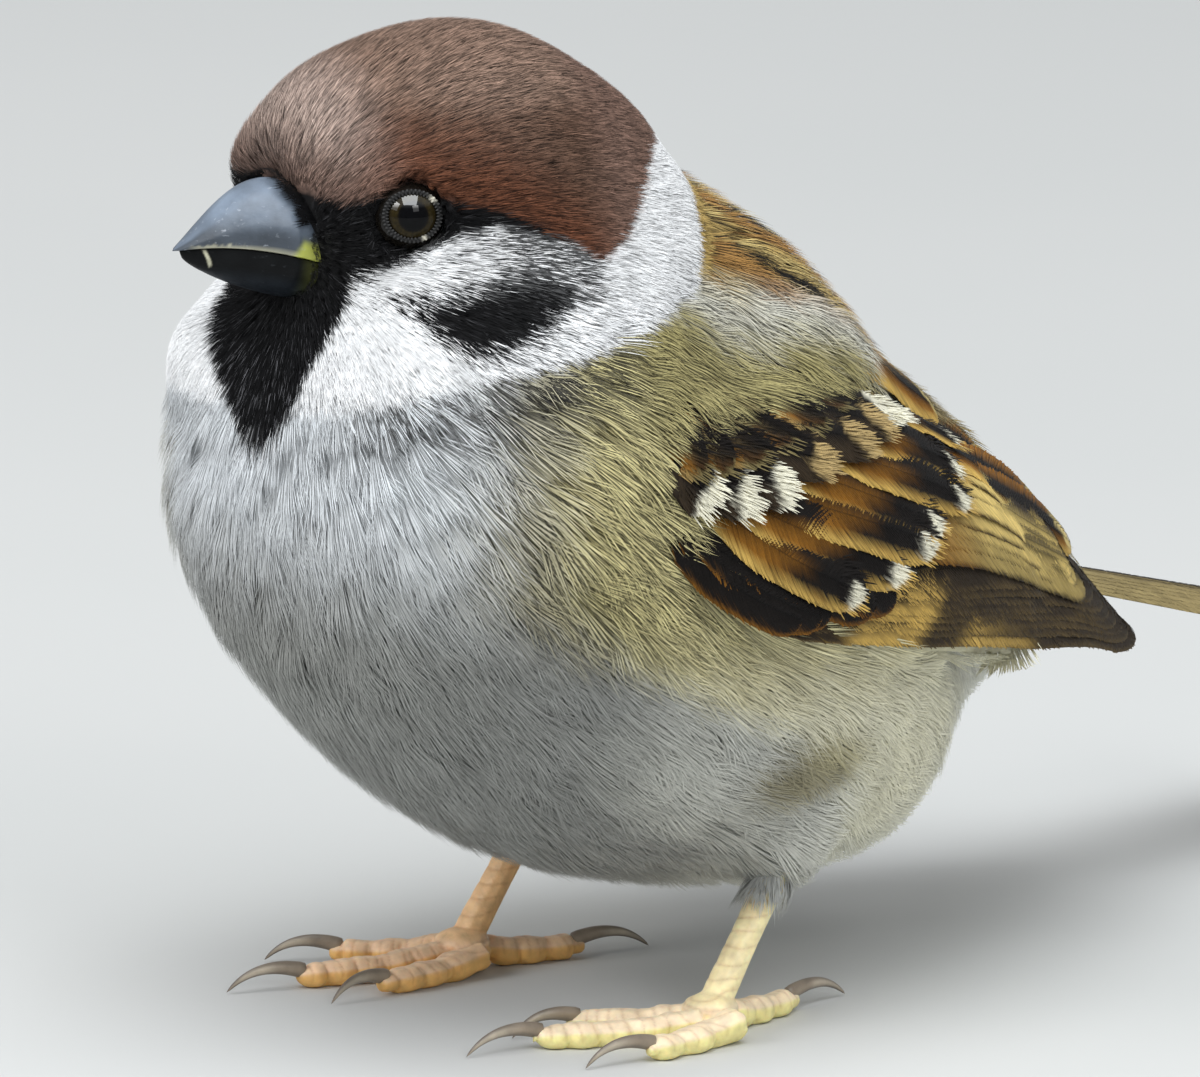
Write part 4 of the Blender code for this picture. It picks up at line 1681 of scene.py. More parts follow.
@dataclass(frozen=True)
class VanePattern:
    """Where a point lies on its feather and on the wing, for the colours of the long feathers.

    Attributes:
        along: share along the feather.
        across: share across it, from the outer edge at -1 to the inner edge at 1.
        wing_along: share along the wing or tail.
        wing_across: share across it.
        rank: the feather's place in its row, from 0 to 1.
        wave: a small unevenness of the edges.
    """

    along: Array
    across: Array
    wing_along: Array
    wing_across: Array
    rank: float
    wave: Array

    def edged(self, base: Tint, *bands: tuple) -> Array:
        """A base colour with bands (tint, edge across, softness) laid from that edge outwards."""
        colour = plain(base, self.along)
        for tint, edge, softness in bands:
            colour = mix(colour, tint.linear, smooth_step(edge + self.wave - self.across, softness))
        return colour

    def greater_covert(self) -> Array:
        """Black middle, rufous outer web with a buff margin, white tip."""
        colour = self.edged(Tint.WING_BLACK, (Tint.RUFOUS, 0.22, 0.25), (Tint.BUFF, -0.74, 0.25))
        dark_end = smooth_step(self.along - 0.60 - 0.25 * self.across, 0.2)
        colour = mix(colour, Tint.WING_BLACK, dark_end * smooth_step(self.across + 0.75, 0.3))
        inside = np.minimum(0.30 - self.across, self.across + 0.95)
        tip = np.minimum(self.along - 0.905, inside * 0.25)
        return mix(colour, Tint.TIP_WHITE, smooth_step(tip + 0.2 * self.wave, 0.03))

    def median_covert(self) -> Array:
        """Black with a broad white or cream tip."""
        colour = self.edged(Tint.WING_BLACK, (Tint.WING_BROWN, -0.2, 0.6))
        cream = Tint.CREAM if 0.45 < self.rank < 0.9 else Tint.TIP_WHITE
        start = 0.82 if cream is Tint.CREAM else 0.71 + 0.20 * (self.rank < 0.5) * self.rank
        tip = self.along - start - 0.08 * self.across**2 + self.wave
        return mix(colour, cream.linear, smooth_step(tip, 0.08))

    def lesser_covert(self) -> Array:
        """Near black with a rufous outer web and a faint outer edge."""
        colour = self.edged(Tint.WING_BLACK, (Tint.FEATHER_EDGE, 0.1, 0.5), (Tint.RUFOUS, -0.35, 0.5))
        colour = mix(colour, Tint.WING_BLACK, 0.8 * smooth_step(self.along - 0.66 + self.wave, 0.2))
        return mix(colour, Tint.SHOULDER, 0.4 * smooth_step(-0.78 - self.across + self.wave, 0.2))

    def tertial(self) -> Array:
        """Black middle, rufous then buff outer edge, pale tip."""
        colour = self.edged(Tint.WING_BLACK, (Tint.RUFOUS, -0.22, 0.22), (Tint.BUFF, -0.60, 0.22))
        colour = mix(colour, Tint.RUFOUS, smooth_step(self.across - 0.75, 0.2))
        return mix(colour, Tint.PALE_BUFF, smooth_step(self.along - 0.955 + 0.03 * self.across, 0.03))

    def secondary(self) -> Array:
        """Dark brown, with broad buff outer edges that make the pale panel."""
        colour = self.edged(Tint.WING_BROWN, (Tint.PANEL, 0.05, 0.5), (Tint.FEATHER_EDGE, -0.93, 0.1))
        colour = colour * (1 - 0.5 * smooth_step(0.22 - self.wing_across, 0.3))[:, None]
        rust = smooth_step(0.50 - self.wing_along, 0.12) * smooth_step(-0.1 - self.across, 0.5)
        return mix(colour, Tint.RUFOUS, 0.75 * rust)

    def primary(self) -> Array:
        """Dark brown with two buff patches that line up across the feathers, and thin pale edges."""
        colour = self.edged(Tint.WING_BROWN, (Tint.FEATHER_EDGE, -0.88, 0.15))
        first = smooth_step(0.055 - np.abs(self.wing_along - 0.41 - 0.03 * self.wing_across), 0.025)
        second = smooth_step(0.075 - np.abs(self.wing_along - 0.60), 0.04)
        second = second * smooth_step(-0.42 - self.wing_across, 0.2)
        patch = np.maximum(first, second) * smooth_step(-0.50 + self.wave - self.across, 0.4)
        return mix(colour, Tint.BUFF, 0.95 * patch)

    def primary_covert(self) -> Array:
        """Near black, with a thin rusty edge."""
        return self.edged(Tint.WING_BLACK, (Tint.RUFOUS, -0.90, 0.2))

    def rectrix(self) -> Array:
        """Brown with olive-buff edges."""
        colour = self.edged(Tint.WING_BROWN, (Tint.RUMP, -0.35, 0.5))
        return mix(colour, Tint.RUMP, 0.6 * smooth_step(self.across - 0.6, 0.3))

    def colour(self, kind: VaneKind) -> Array:
        """The colours of a feather of a kind, with its dark shaft."""
        colour = getattr(self, kind.value)()
        pale = smooth_step(colour.mean(axis=1) - 0.55, 0.3)
        return mix(colour, colour * 0.5, smooth_step(0.045 - np.abs(self.across), 0.04) * (1 - 0.75 * pale))


@dataclass(frozen=True)
class Barbing:
    """The barbs that lie over a long feather's vane: thin blades from its shaft to its edges.

    Attributes:
        pitch: distance between barbs along the shaft, in millimetres.
        half_width: of each barb.
        reach: how far forward a barb runs.
        overhang: how unevenly barbs end past the edge, as a share of the vane's width.
        ridge: how much a barb's front edge stands up.
        under: brightness of the vane under the barbs, darker as painted shade between them.
        soft: how many short loose barbs lie over the end of each kind of covert.
    """

    pitch: float = 0.30
    half_width: float = 0.10
    reach: float = 2.6
    overhang: float = 0.07
    ridge: float = 0.03
    under: float = 0.70
    soft: tuple = (
        (VaneKind.MEDIAN_COVERT, 150), (VaneKind.GREATER_COVERT, 90), (VaneKind.LESSER_COVERT, 70),
    )

    @staticmethod
    def ribbons(at: Array, wide: Array, length: float, breadth: float) -> tuple[Array, Array, Array, Array]:
        """Turns rows of four places into thin blades.

        Args:
            at: shares along the feather, four to a barb.
            wide: millimetres across it.
            length: of the feather.
            breadth: half the width of a blade.

        Returns:
            Share along and millimetres across of each corner, the quads, and each corner's barb.
        """
        ahead, aside = np.gradient(at * length, axis=1), np.gradient(wide, axis=1)
        size = np.maximum(np.hypot(ahead, aside), 1e-6)
        reach = breadth * np.array([[0.8, 1.0, 0.8, 0.2]]) / size
        corners_at = np.stack([at + aside * reach / length, at - aside * reach / length], axis=2)
        corners_wide = np.stack([wide - ahead * reach, wide + ahead * reach], axis=2)
        first = (np.arange(len(at)) * 8)[:, None] + np.array([[0, 2, 4]])
        quads = np.stack([first, first + 2, first + 3, first + 1], axis=2).reshape(-1, 4)
        return corners_at, corners_wide, quads, np.repeat(np.arange(len(at)), 8)

    def soft_end(self, kind: VaneKind, length: float, half_width: float, rng: Rng) -> tuple | None:
        """Lays short loose barbs over the end of a covert, or nothing on a stiff feather.

        Args:
            kind: which feather it is.
            length: of the feather.
            half_width: of its vane.
            rng: where small differences come from.

        Returns:
            What lay_out returns, or None.
        """
        count = dict(self.soft).get(kind, 0)
        if not count:
            return None
        start = 1 - rng.uniform(0.3, 3.2, (count, 1)) / length
        across = rng.uniform(-0.92, 0.92, (count, 1))
        t = np.array([[0.0, 0.4, 0.8, 1.0]])
        at = start + rng.uniform(0.8, 1.6, (count, 1)) / length * t
        wide = half_width * vane_outline(kind, start) * across * (1 + 0.18 * t)
        wide = wide + rng.normal(0, 0.08, (count, 1)) * t
        lift = 0.05 + rng.uniform(0.0, 0.30, (count, 1)) * t
        corners_at, corners_wide, quads, owner = self.ribbons(at, wide, length, 0.055)
        return corners_at.ravel(), corners_wide.ravel(), np.repeat(lift.ravel(), 2), quads, owner

    def lay_out(self, kind: VaneKind, length: float, half_width: float, rng: Rng) -> tuple:
        """Lays the barbs of one feather out flat.

        Args:
            kind: which feather it is.
            length: of the feather.
            half_width: of its vane.
            rng: where small differences come from.

        Returns:
            Share along, millimetres across and out of each corner, the quads, and each corner's barb.
        """
        count = max(int(length / self.pitch), 12)
        side = np.repeat([-1.0, 1.0], count)[:, None]
        start = np.tile((np.arange(count) + 0.5) / count, 2)[:, None] * 0.95 + 0.03
        start = start + rng.uniform(-0.3, 0.3, start.shape) / count
        reach = np.minimum(self.reach / length, 0.6 * (1.02 - start)) * rng.uniform(0.9, 1.1, start.shape)
        end = 1 + rng.uniform(-self.overhang, self.overhang, start.shape)
        t = np.array([[0.0, 0.4, 0.8, 1.0]])
        at = np.clip(start + reach * t**1.25, 0, 1)
        wide = half_width * vane_outline(kind, at) * side * end * (0.02 + 0.98 * t**0.85)
        corners_at, corners_wide, quads, owner = self.ribbons(at, wide, length, self.half_width)
        lift = np.broadcast_to(0.02 + self.ridge * np.array([1.0, -0.5]) * side[..., None], corners_at.shape)
        return np.clip(corners_at, 0, 1).ravel(), corners_wide.ravel(), lift.ravel(), quads, owner


@dataclass
class Plumes:
    """Lays long feathers on a surface given by shares along and across."""

    side: int
    place: Callable[[Array], tuple[Array, Array, Array]]
    shape: VaneShape = field(default_factory=VaneShape)
    barbing: Barbing = field(default_factory=Barbing)
    pieces: Pieces = field(default_factory=Pieces)
    laid: int = 0
    columns: int = 10

    def lay(
        self, kind: VaneKind, root: Array, tip: Array, half_width: float, heights: tuple, tilt: float,
        rank: float, rng: Rng,
    ) -> None:
        """Lays one feather from its root to its tip.

        Args:
            kind: which feather it is.
            root: where it grows, as shares along and across.
            tip: where it ends.
            half_width: in millimetres.
            heights: how far its root and its tip are out from the surface.
            tilt: how much its outer edge stands above its inner edge, in each millimetre.
            rank: its place in the row, from 0 to 1.
            rng: where small differences come from.
        """
        template, quads = self.shape.template()
        share = np.linspace(0, 1, 15)
        spine, normals, _ = self.place(root + (tip - root) * share[:, None])
        steps = np.concatenate([[0], np.cumsum(np.linalg.norm(np.diff(spine, axis=0), axis=1))])
        length = steps[-1]

        def along_spine(values: Array, at: Array) -> Array:
            """Values of the spine's points, read at shares of its length."""
            return np.stack([np.interp(at * length, steps, values[:, i]) for i in range(3)], axis=1)

        def flat_to_wing(at: Array, wide: Array, lift: Array) -> Array:
            """Carries a share along and millimetres across and out to the wing."""
            full = half_width * vane_outline(kind, at)
            camber = -0.035 * wide**2 + 0.05 * np.exp(-((wide / full * 9) ** 2))
            height = heights[0] + (heights[1] - heights[0]) * at - tilt * wide + camber + lift
            inside = np.clip(at, 0, 1)
            ahead = unit(along_spine(spine, np.clip(at + 0.03, 0, 1)) - along_spine(spine, inside - 0.03))
            up = unit(along_spine(normals, at))
            sideways = unit(np.cross(up, ahead)) * self.side
            beyond = ahead * ((at - inside) * length)[:, None]
            return along_spine(spine, at) + beyond + sideways * wide[:, None] + up * height[:, None]

        column, line = self.laid % self.columns, self.laid // self.columns
        turn, tone = rng.uniform(0, 6), 1 + rng.uniform(-0.08, 0.08)

        def dress(
            at: Array, across: Array, wide: Array, lift: Array, quads: Array, shift: Array, shade: Array
        ) -> None:
            """Colours one layer of the feather, with shift along and shade for each point, and adds it."""
            points = flat_to_wing(at, wide, lift)
            seen = np.clip(at + shift, 0, 1)
            wave = 0.06 * np.sin(seen * 23 + turn) * np.sin(across * 3)
            on_track = root + (tip - root) * seen[:, None]
            pattern = VanePattern(seen, across, on_track[:, 0], on_track[:, 1] - across * 0.15, rank, wave)
            colour = pattern.colour(kind) * (shade * tone)[:, None]
            bake_across = column + 0.5 + 0.34 * wide / half_width
            bake_along = line + 0.05 + 0.8 * np.clip(at, 0, 1.18)
            bake = np.stack([bake_across, bake_along], axis=1) / self.columns
            vane = np.stack([at * length - np.abs(wide) * 1.1, wide], axis=1)
            quads = quads if self.side > 0 else quads[:, ::-1]
            self.pieces.add(points, quads, np.zeros((0, 3), int), colour, bake, vane)

        at, across, face = template.T
        wide = half_width * vane_outline(kind, at) * across
        plain = np.zeros(len(at))
        thick = face * self.shape.thickness / 2 * (1 - 0.6 * np.abs(across))
        # the vane under the barbs painted darker: painted shade between the barbs
        dress(at, across, wide, thick, quads, plain, plain + self.barbing.under)
        for barbs in (self.barbing.lay_out, self.barbing.soft_end):
            laid = barbs(kind, length, half_width, rng)
            if laid is None:
                continue
            at, wide, lift, quads, owner = laid
            across = np.clip(wide / (half_width * vane_outline(kind, at)), -1, 1)
            count = owner.max() + 1
            shift, shade = rng.normal(0, 0.12 / length, count)[owner], rng.uniform(0.84, 1.12, count)[owner]
            dress(at, across, wide, lift + self.shape.thickness / 2, quads, shift, shade)
        self.laid += 1

    def lay_row(self, row: VaneRow, rng: Rng) -> None:
        """Lays a whole row, from its first feather to its last.

        Args:
            row: where it stands and of what kind it is.
            rng: where small differences come from.
        """
        for i in range(row.count):
            rank = i / max(row.count - 1, 1)
            root, tip, half_width = row.ends(rank)
            tip = tip + rng.normal(0, 0.005, 2)
            heights = tuple(height + rng.uniform(-0.05, 0.05) for height in row.heights)
            half_width = half_width * rng.uniform(0.94, 1.06)
            self.lay(row.kind, root, tip, half_width, heights, row.tilt, rank, rng)


@dataclass
class Wing:
    """A folded wing: its rows of feathers, from the lowest layer up."""

    label: str
    side: int
    outline: Surface
    seed: int = 41
    rows: tuple = (
        VaneRow(
            VaneKind.PRIMARY, 8,
            ((0.22, -0.88), (0.30, -0.70), (0.36, -0.50)),
            ((0.995, -0.30), (0.93, -0.02), (0.86, 0.12), (0.79, 0.22)),
            (2.2, 2.5), (-1.0, -0.40), 0.14,
        ),
        VaneRow(
            VaneKind.SECONDARY, 7,
            ((0.32, -0.20), (0.37, 0.12), (0.42, 0.60)),
            ((0.75, 0.02), (0.73, 0.28), (0.70, 0.62)),
            (2.5, 2.8), (-0.9, -0.20), 0.13,
        ),
        VaneRow(
            VaneKind.TERTIAL, 4,
            ((0.40, 0.35), (0.41, 0.75), (0.40, 1.3)),
            ((0.79, 0.62), (0.73, 0.95), (0.60, 1.3)),
            (2.9, 3.3), (-0.9, 0.00),
        ),
        VaneRow(
            VaneKind.PRIMARY_COVERT, 5,
            ((0.06, -0.76), (0.10, -0.56), (0.16, -0.42)),
            ((0.26, -0.82), (0.31, -0.76), (0.385, -0.62)),
            (1.9, 2.1), (-1.0, -0.15),
        ),
        VaneRow(
            VaneKind.GREATER_COVERT, 7,
            ((0.12, -0.28), (0.16, -0.12), (0.21, 0.07), (0.275, 0.30), (0.34, 0.58), (0.42, 0.95)),
            (
                (0.33, -0.62), (0.385, -0.45), (0.425, -0.25), (0.45, -0.08), (0.49, 0.14), (0.515, 0.42),
                (0.56, 0.80),
            ),
            (2.4, 2.7), (-0.9, 0.05),
        ),
        VaneRow(
            VaneKind.MEDIAN_COVERT, 7,
            ((0.00, 0.02), (0.06, 0.10), (0.12, 0.22), (0.18, 0.45), (0.26, 0.66), (0.33, 0.92)),
            (
                (0.12, -0.28), (0.18, -0.20), (0.245, -0.06), (0.31, 0.18), (0.38, 0.40), (0.425, 0.58),
                (0.46, 0.76),
            ),
            (2.25, 2.6), (-0.9, 0.22),
        ),
        VaneRow(
            VaneKind.LESSER_COVERT, 6,
            ((-0.02, 0.30), (0.08, 0.38), (0.18, 0.62), (0.30, 0.98)),
            ((0.10, 0.10), (0.20, 0.18), (0.29, 0.42), (0.38, 0.72)),
            (2.4, 2.4), (-1.2, -0.2),
        ),
        VaneRow(
            VaneKind.LESSER_COVERT, 6,
            ((-0.06, 0.60), (0.04, 0.80), (0.14, 0.96), (0.24, 1.06)),
            ((0.06, 0.30), (0.13, 0.40), (0.22, 0.54), (0.32, 0.80)),
            (2.4, 2.4), (-1.6, -0.8),
        ),
    )

    def place(self, track: Array) -> tuple[Array, Array, Array]:
        """The outer surface of this wing at shares along and across.

        Args:
            track: shares from shoulder to tip, and from the lower edge (-1) to the upper (1).

        Returns:
            Places on the outline, the outward normals and the half width there.
        """
        points, out, half_width = WING_FORM.surface(track)
        flip = np.array([self.side, 1, 1])
        points, out = points * flip, out * flip
        found, normals = self.outline.nearest(points)
        steer = (smooth_step(0.62 - track[:, 0], 0.16) * smooth_step(track[:, 1] + 0.85, 0.3))[:, None]
        return found * steer + points * (1 - steer), unit(normals * steer + out * (1 - steer)), half_width

    def build(self, material: Material) -> None:
        """Lays every row and shows the wing as one piece.

        Args:
            material: the vanes' finish.
        """
        rng = np.random.default_rng(self.seed + self.side)
        plumes = Plumes(self.side, self.place)
        for row in self.rows:
            plumes.lay_row(row, rng)
        wing = plumes.pieces.object(f"wing_feathers_{self.label}", material)
        finish_piece(wing, "flight_feathers", f"wing_{self.label}_primaries")


@dataclass
class Tail:
    """Twelve tail feathers in a closed, slightly arched fan."""

    seed: int = 51
    root: tuple = (0.0, 42.0, 26.8)
    slope: float = math.radians(15.0)
    length: float = 42.0
    half_width: float = 7.0
    arch: float = 1.9
    pairs: int = 6
    feather_half_width: float = 2.0

    def place(self, track: Array) -> tuple[Array, Array, Array]:
        """The top of the tail at shares along and across.

        Args:
            track: shares from root to tip, and from the bird's right (-1) to its left (1).

        Returns:
            Places on the tail, the upward normals and the half width there.
        """
        along, across = track[:, 0], track[:, 1]
        ahead = np.array([0, math.cos(self.slope), -math.sin(self.slope)])
        up = np.array([0, math.sin(self.slope), math.cos(self.slope)])
        width = self.half_width * (0.80 + 0.28 * along)
        points = np.array(self.root) + ahead * (along * self.length)[:, None]
        points = points + up * (-self.arch * across**2)[:, None]
        points[:, 0] += across * width
        tilted = up[None] + np.array([1.0, 0, 0]) * (2 * self.arch * across / width)[:, None]
        return points, unit(tilted), width

    def build(self, material: Material) -> None:
        """Lays the pairs from the outermost to the middle one, which is on top.

        Args:
            material: the vanes' finish.
        """
        rng = np.random.default_rng(self.seed)
        pieces = Pieces()
        for side in (-1, 1):
            plumes = Plumes(side, self.place, pieces=pieces, laid=0 if side < 0 else Plumes.columns)
            for pair in range(self.pairs):
                share = 1 - pair / (self.pairs - 1)
                across = side * (0.14 + 0.62 * share)
                reach = 1.0 - 0.06 * (1 - share)
                height = 0.95 - 0.30 * share - (0.06 if side < 0 else 0)
                root, tip = np.array([-0.12, across * 0.5]), np.array([reach - 0.012, across])
                heights = (height, height - 0.55)
                plumes.lay(VaneKind.RECTRIX, root, tip, self.feather_half_width, heights, -0.03, share, rng)
        finish_piece(pieces.object("tail_feathers", material), "flight_feathers", "tail")


# ---------------------------------------------------------------- head parts


def closed_tube(around: int, along: int) -> tuple[BMesh, Array, Array]:
    """A ball whose vertices are to be moved into a closed tube.

    Args:
        around: faces round it.
        along: faces from end to end.

    Returns:
        The ball, and each vertex's share along it and angle around it.
    """
    ball = bmesh.new()
    bmesh.ops.create_uvsphere(ball, u_segments=around, v_segments=along, radius=1.0)
    places = np.array([v.co for v in ball.verts])
    share = np.arccos(np.clip(places[:, 2], -1, 1)) / math.pi
    angle = np.arctan2(places[:, 1], places[:, 0])
    return ball, share, angle


def mesh_object(
    name: str, shape: BMesh, places: Array, colours: Array, material: Material
) -> Object:
    """Shows a shape whose vertices have moved.

    Args:
        name: the piece's name.
        shape: its faces.
        places: where each vertex goes, in bird millimetres.
        colours: of each vertex.
        material: its finish.

    Returns:
        The object.
    """
    for vert, place in zip(shape.verts, BIRD.to_row(places)):
        vert.co = Vector(place)
    bmesh.ops.recalc_face_normals(shape, faces=shape.faces)
    shape.verts.index_update()
    mesh = bpy.data.meshes.new(name)
    mesh.from_pydata([vert.co for vert in shape.verts], [], settled(shape.faces))
    shape.free()
    mesh.shade_smooth()
    paint(mesh, colours)
    return show(name, mesh, material)


@dataclass
class Bill:
    """The two horny halves of the bill, with the yellow gape."""

    root: float = 9.5
    base: float = 14.3
    tips: tuple = (22.6, 22.0)
    half_width: float = 4.3
    upper_depth: float = 4.9
    lower_depth: float = 3.4
    crest: float = 18.9
    gape: float = 11.9
    slit: float = 0.10
    faces: tuple = (112, 104)

    def seam(self, forward: Array) -> Array:
        """Height of the line where the halves meet."""
        behind = 0.05 - 1.2 * ((self.crest - forward) / (self.crest - self.gape)) ** 2
        ahead = 0.05 - 0.5 * ((forward - self.crest) / (self.tips[0] - self.crest)) ** 2
        return np.where(forward < self.crest, behind, ahead)

    def half(self, upper: bool) -> Surface:
        """Builds one half in the head's frame and paints it.

        Args:
            upper: whether it is the upper one.

        Returns:
            Its surface, for the bristles.
        """
        tip = self.tips[0] if upper else self.tips[1]
        shape, share, angle = closed_tube(*self.faces)
        share = np.clip(share, 0, 1)
        forward = self.root + (tip - self.root) * share**0.85
        taper = np.clip((tip - forward) / (tip - self.base), 0, 1)
        swell = np.sin(taper * math.pi / 2)
        width = self.half_width * taper**0.8 + 0.10
        if upper:
            height = self.upper_depth * swell**1.4 + 0.10
        else:
            width = width * 0.94
            height = -(self.lower_depth * swell**0.65 + 0.08)
        ends = np.clip(np.minimum(share * 30, (1 - share) * 40), 0, 1) ** 0.5
        across, over = np.cos(angle), np.sin(angle)
        edge = self.seam(forward) + (self.slit if upper else -self.slit)
        rim = 0.10 * np.exp(-((np.abs(across) - 0.94) / 0.05) ** 2) * np.clip(taper * 3, 0, 1)
        rise = np.where(over > 0, height * np.abs(over) ** 0.85, -0.25 * height * np.abs(over) * 0.2)
        local = np.stack([forward, (width + rim) * across * ends, edge + rise * ends], axis=1)
        if upper:
            ridge = 0.10 * np.exp(-((across / 0.16) ** 2)) * (over > 0) * swell
            local[:, 2] += ridge
        colours = self.colours(local, over, upper)
        part = "upper" if upper else "lower"
        finish = HornFinish(f"{part}_bill_horn")
        if not upper:
            finish = replace(finish, scuff_share=0.05, specular=0.08, coat=0.0)
        made = mesh_object(f"{part}_bill", shape, BIRD.from_head(local), colours, finish.material())
        finish_piece(made, "bill", f"bill_{part}")
        return Surface.of(made.data)

    def colours(self, local: Array, over: Array, upper: bool) -> Array:
        """Slate above, near black below, a pale worn edge, a yellow gape, and a painted highlight along the
        top of the upper half.

        Args:
            local: the points in the head's frame.
            over: how high up round the half each one is, from -1 to 1.
            upper: which half it is.

        Returns:
            The colours.
        """
        slate = np.array([0.135, 0.168, 0.215])
        dark = np.array([0.006, 0.0065, 0.007])
        worn = np.array([0.36, 0.35, 0.26])
        yellow = np.array([0.46, 0.49, 0.09])
        forward = local[:, 0]
        off_seam = np.abs(local[:, 2] - self.seam(forward))
        if upper:
            low = smooth_step(1.9 - off_seam, 2.0)
            colour = mix(plain(slate, local), slate * 0.34, low)
            # painted highlight: the top of the ridge lighter
            colour = mix(colour, slate * 1.35, smooth_step(over - 0.82, 0.25) * 0.5)
            ragged = 0.10 * np.sin(forward * 9.0) * np.sin(forward * 3.7)
            lip = smooth_step(0.30 + ragged - off_seam, 0.14)
            lip *= smooth_step(forward - 14.2, 0.6) * smooth_step(21.3 - forward, 1.5)
            colour = mix(colour, worn, 0.85 * lip)
            gape = 0.9 * smooth_step(np.minimum(14.6 - forward - 0.6 * off_seam, 1.25 - off_seam), 0.7)
        else:
            colour = plain(dark, local)
            colour = mix(colour, slate * 0.10, smooth_step(off_seam - 2.0, 1.5))
            fleck = 1 - np.hypot((forward - 20.4) / 0.55, (off_seam - 0.9) / 0.85)
            slant = np.abs(forward - 20.2 - 0.45 * (0.9 - off_seam))
            streak = smooth_step(fleck * 0.3, 0.12) * smooth_step(0.12 - slant, 0.12)
            colour = mix(colour, worn * 1.6, streak)
            gape = 0.09 * smooth_step(13.4 - forward, 1.6) * smooth_step(2.8 - off_seam, 1.4)
        return mix(colour, yellow, gape)

    def build(self) -> None:
        """Builds both halves and the bristles at their base."""
        NasalBristles(self.half(True)).dress()
        self.half(False)


@dataclass
class Eye:
    """An eyeball with its beaded ring of bare skin."""

    label: str
    side: int
    radius: float = 2.75
    place: tuple = (7.9, 9.3, 3.5)
    facing: tuple = (0.36, 0.92, 0.10)
    pupil: float = 1.10
    iris: float = 1.95
    ring: float = 1.80
    ring_width: float = 0.30
    oval: float = 1.13
    beads: int = 44
    faces: tuple = (64, 48)

    def axis(self) -> tuple[Array, Array, Array]:
        """The eye's outward direction, its forward direction and its up, in bird terms."""
        turn = np.array(BIRD.head.to_3x3())
        flip = np.array([1, self.side, 1])
        out = turn @ unit(np.array(self.facing) * flip)
        up = unit(turn @ np.array([0, 0, 1.0]) - out * (turn @ np.array([0, 0, 1.0]) @ out))
        return out, np.cross(up, out) * -self.side, up

    def build(self) -> None:
        """Builds the ball and the ring round it."""
        out, ahead, up = self.axis()
        centre = BIRD.from_head(np.array([self.place]) * np.array([1, self.side, 1]))[0]
        shape, share, angle = closed_tube(*self.faces)
        polar = share * math.pi
        lens = 0.22 * np.exp(-((polar / 0.62) ** 2))
        radius = (self.radius - 0.06 + lens)[:, None]
        around = ahead * np.cos(angle)[:, None] + up * np.sin(angle)[:, None]
        ray = out * np.cos(polar)[:, None] + around * np.sin(polar)[:, None]
        from_axis = self.radius * np.sin(polar)
        spoke = 1 + 0.25 * np.sin(angle * 37) * np.sin(angle * 11)
        black, dark = np.array([0.0015, 0.0015, 0.002]), np.array([0.006, 0.005, 0.004])
        iris = np.array([0.019, 0.0135, 0.004])[None] * spoke[:, None]
        colours = mix(plain(black, polar), iris, smooth_step(from_axis - self.pupil, 0.14))
        colours = mix(colours, dark, smooth_step(from_axis - self.iris + 0.25, 0.3))
        finish = EyeFinish(f"wet_eye_{self.label}", float(BIRD.to_row(centre[None])[0, 2]))
        ball = mesh_object(f"eyeball_{self.label}", shape, centre + ray * radius, colours, finish.material())
        finish_piece(ball, "eye", f"eye_{self.label}")
        self.build_ring(centre, out, ahead, up)

    def build_ring(self, centre: Array, out: Array, ahead: Array, up: Array) -> None:
        """Builds the lids as a spun roll with two rows of beads.

        Args:
            centre: the middle of the eyeball.
            out: the way that the eye faces.
            ahead: its forward direction.
            up: its upward direction.
        """
        roll = bmesh.new()
        circle = bmesh.ops.create_circle(roll, segments=16, radius=self.ring_width, cap_ends=False)
        turned = Matrix.Rotation(math.pi / 2, 4, "X")
        moved = Matrix.Translation((self.ring, 0, 0)) @ turned
        bmesh.ops.transform(roll, matrix=moved, verts=circle["verts"])
        bmesh.ops.spin(
            roll, geom=roll.verts[:] + roll.edges[:], cent=(0, 0, 0), axis=(0, 0, 1),
            steps=self.beads * 7, angle=math.tau, use_merge=True,
        )
        places = np.array([v.co for v in roll.verts])
        round_angle = np.arctan2(places[:, 1], places[:, 0])
        reach = np.linalg.norm(places[:, :2], axis=1)
        around = np.arctan2(places[:, 2], reach - self.ring)
        bead = 0.5 + 0.5 * np.cos(round_angle * self.beads)
        other = 0.5 + 0.5 * np.cos(round_angle * self.beads + math.pi)
        inner = np.exp(-((around - 2.2) / 0.55) ** 2)
        outer = np.exp(-((around - 0.9) / 0.55) ** 2)
        size = self.ring_width * (0.62 + 0.46 * bead * inner + 0.44 * other * outer)
        reach = self.ring + np.cos(around) * size
        ahead_share = np.cos(round_angle) * reach * self.oval
        local = np.stack([ahead_share, np.sin(round_angle) * reach, np.sin(around) * size], axis=1)
        base = math.sqrt(self.radius**2 - self.ring**2) - 0.02
        sag = 0.05 * np.cos(2 * round_angle)
        height = (local[:, 2] + base - sag)[:, None]
        points = centre + ahead * local[:, :1] + up * local[:, 1:2] + out * height
        # the tops of the beads painted lighter than the skin between them: painted highlights
        light = 0.04 + 0.96 * np.maximum(bead * inner, other * outer) ** 1.5
        colours = np.array([0.050, 0.049, 0.049])[None] * light[:, None]
        pale = np.exp(-((np.angle(np.exp(1j * (round_angle - 2.35)))) / 0.13) ** 2) * smooth_step(around, 1)
        pale += np.exp(-((np.angle(np.exp(1j * (round_angle + 2.05)))) / 0.09) ** 2) * smooth_step(around, 1)
        colours = mix(colours, np.array([0.58, 0.55, 0.46]), np.clip(pale * 0.8, 0, 1))
        ring = mesh_object(f"eye_ring_{self.label}", roll, points, colours, LidFinish().material())
        finish_piece(ring, "foot_skin")


# ---------------------------------------------------------------- legs


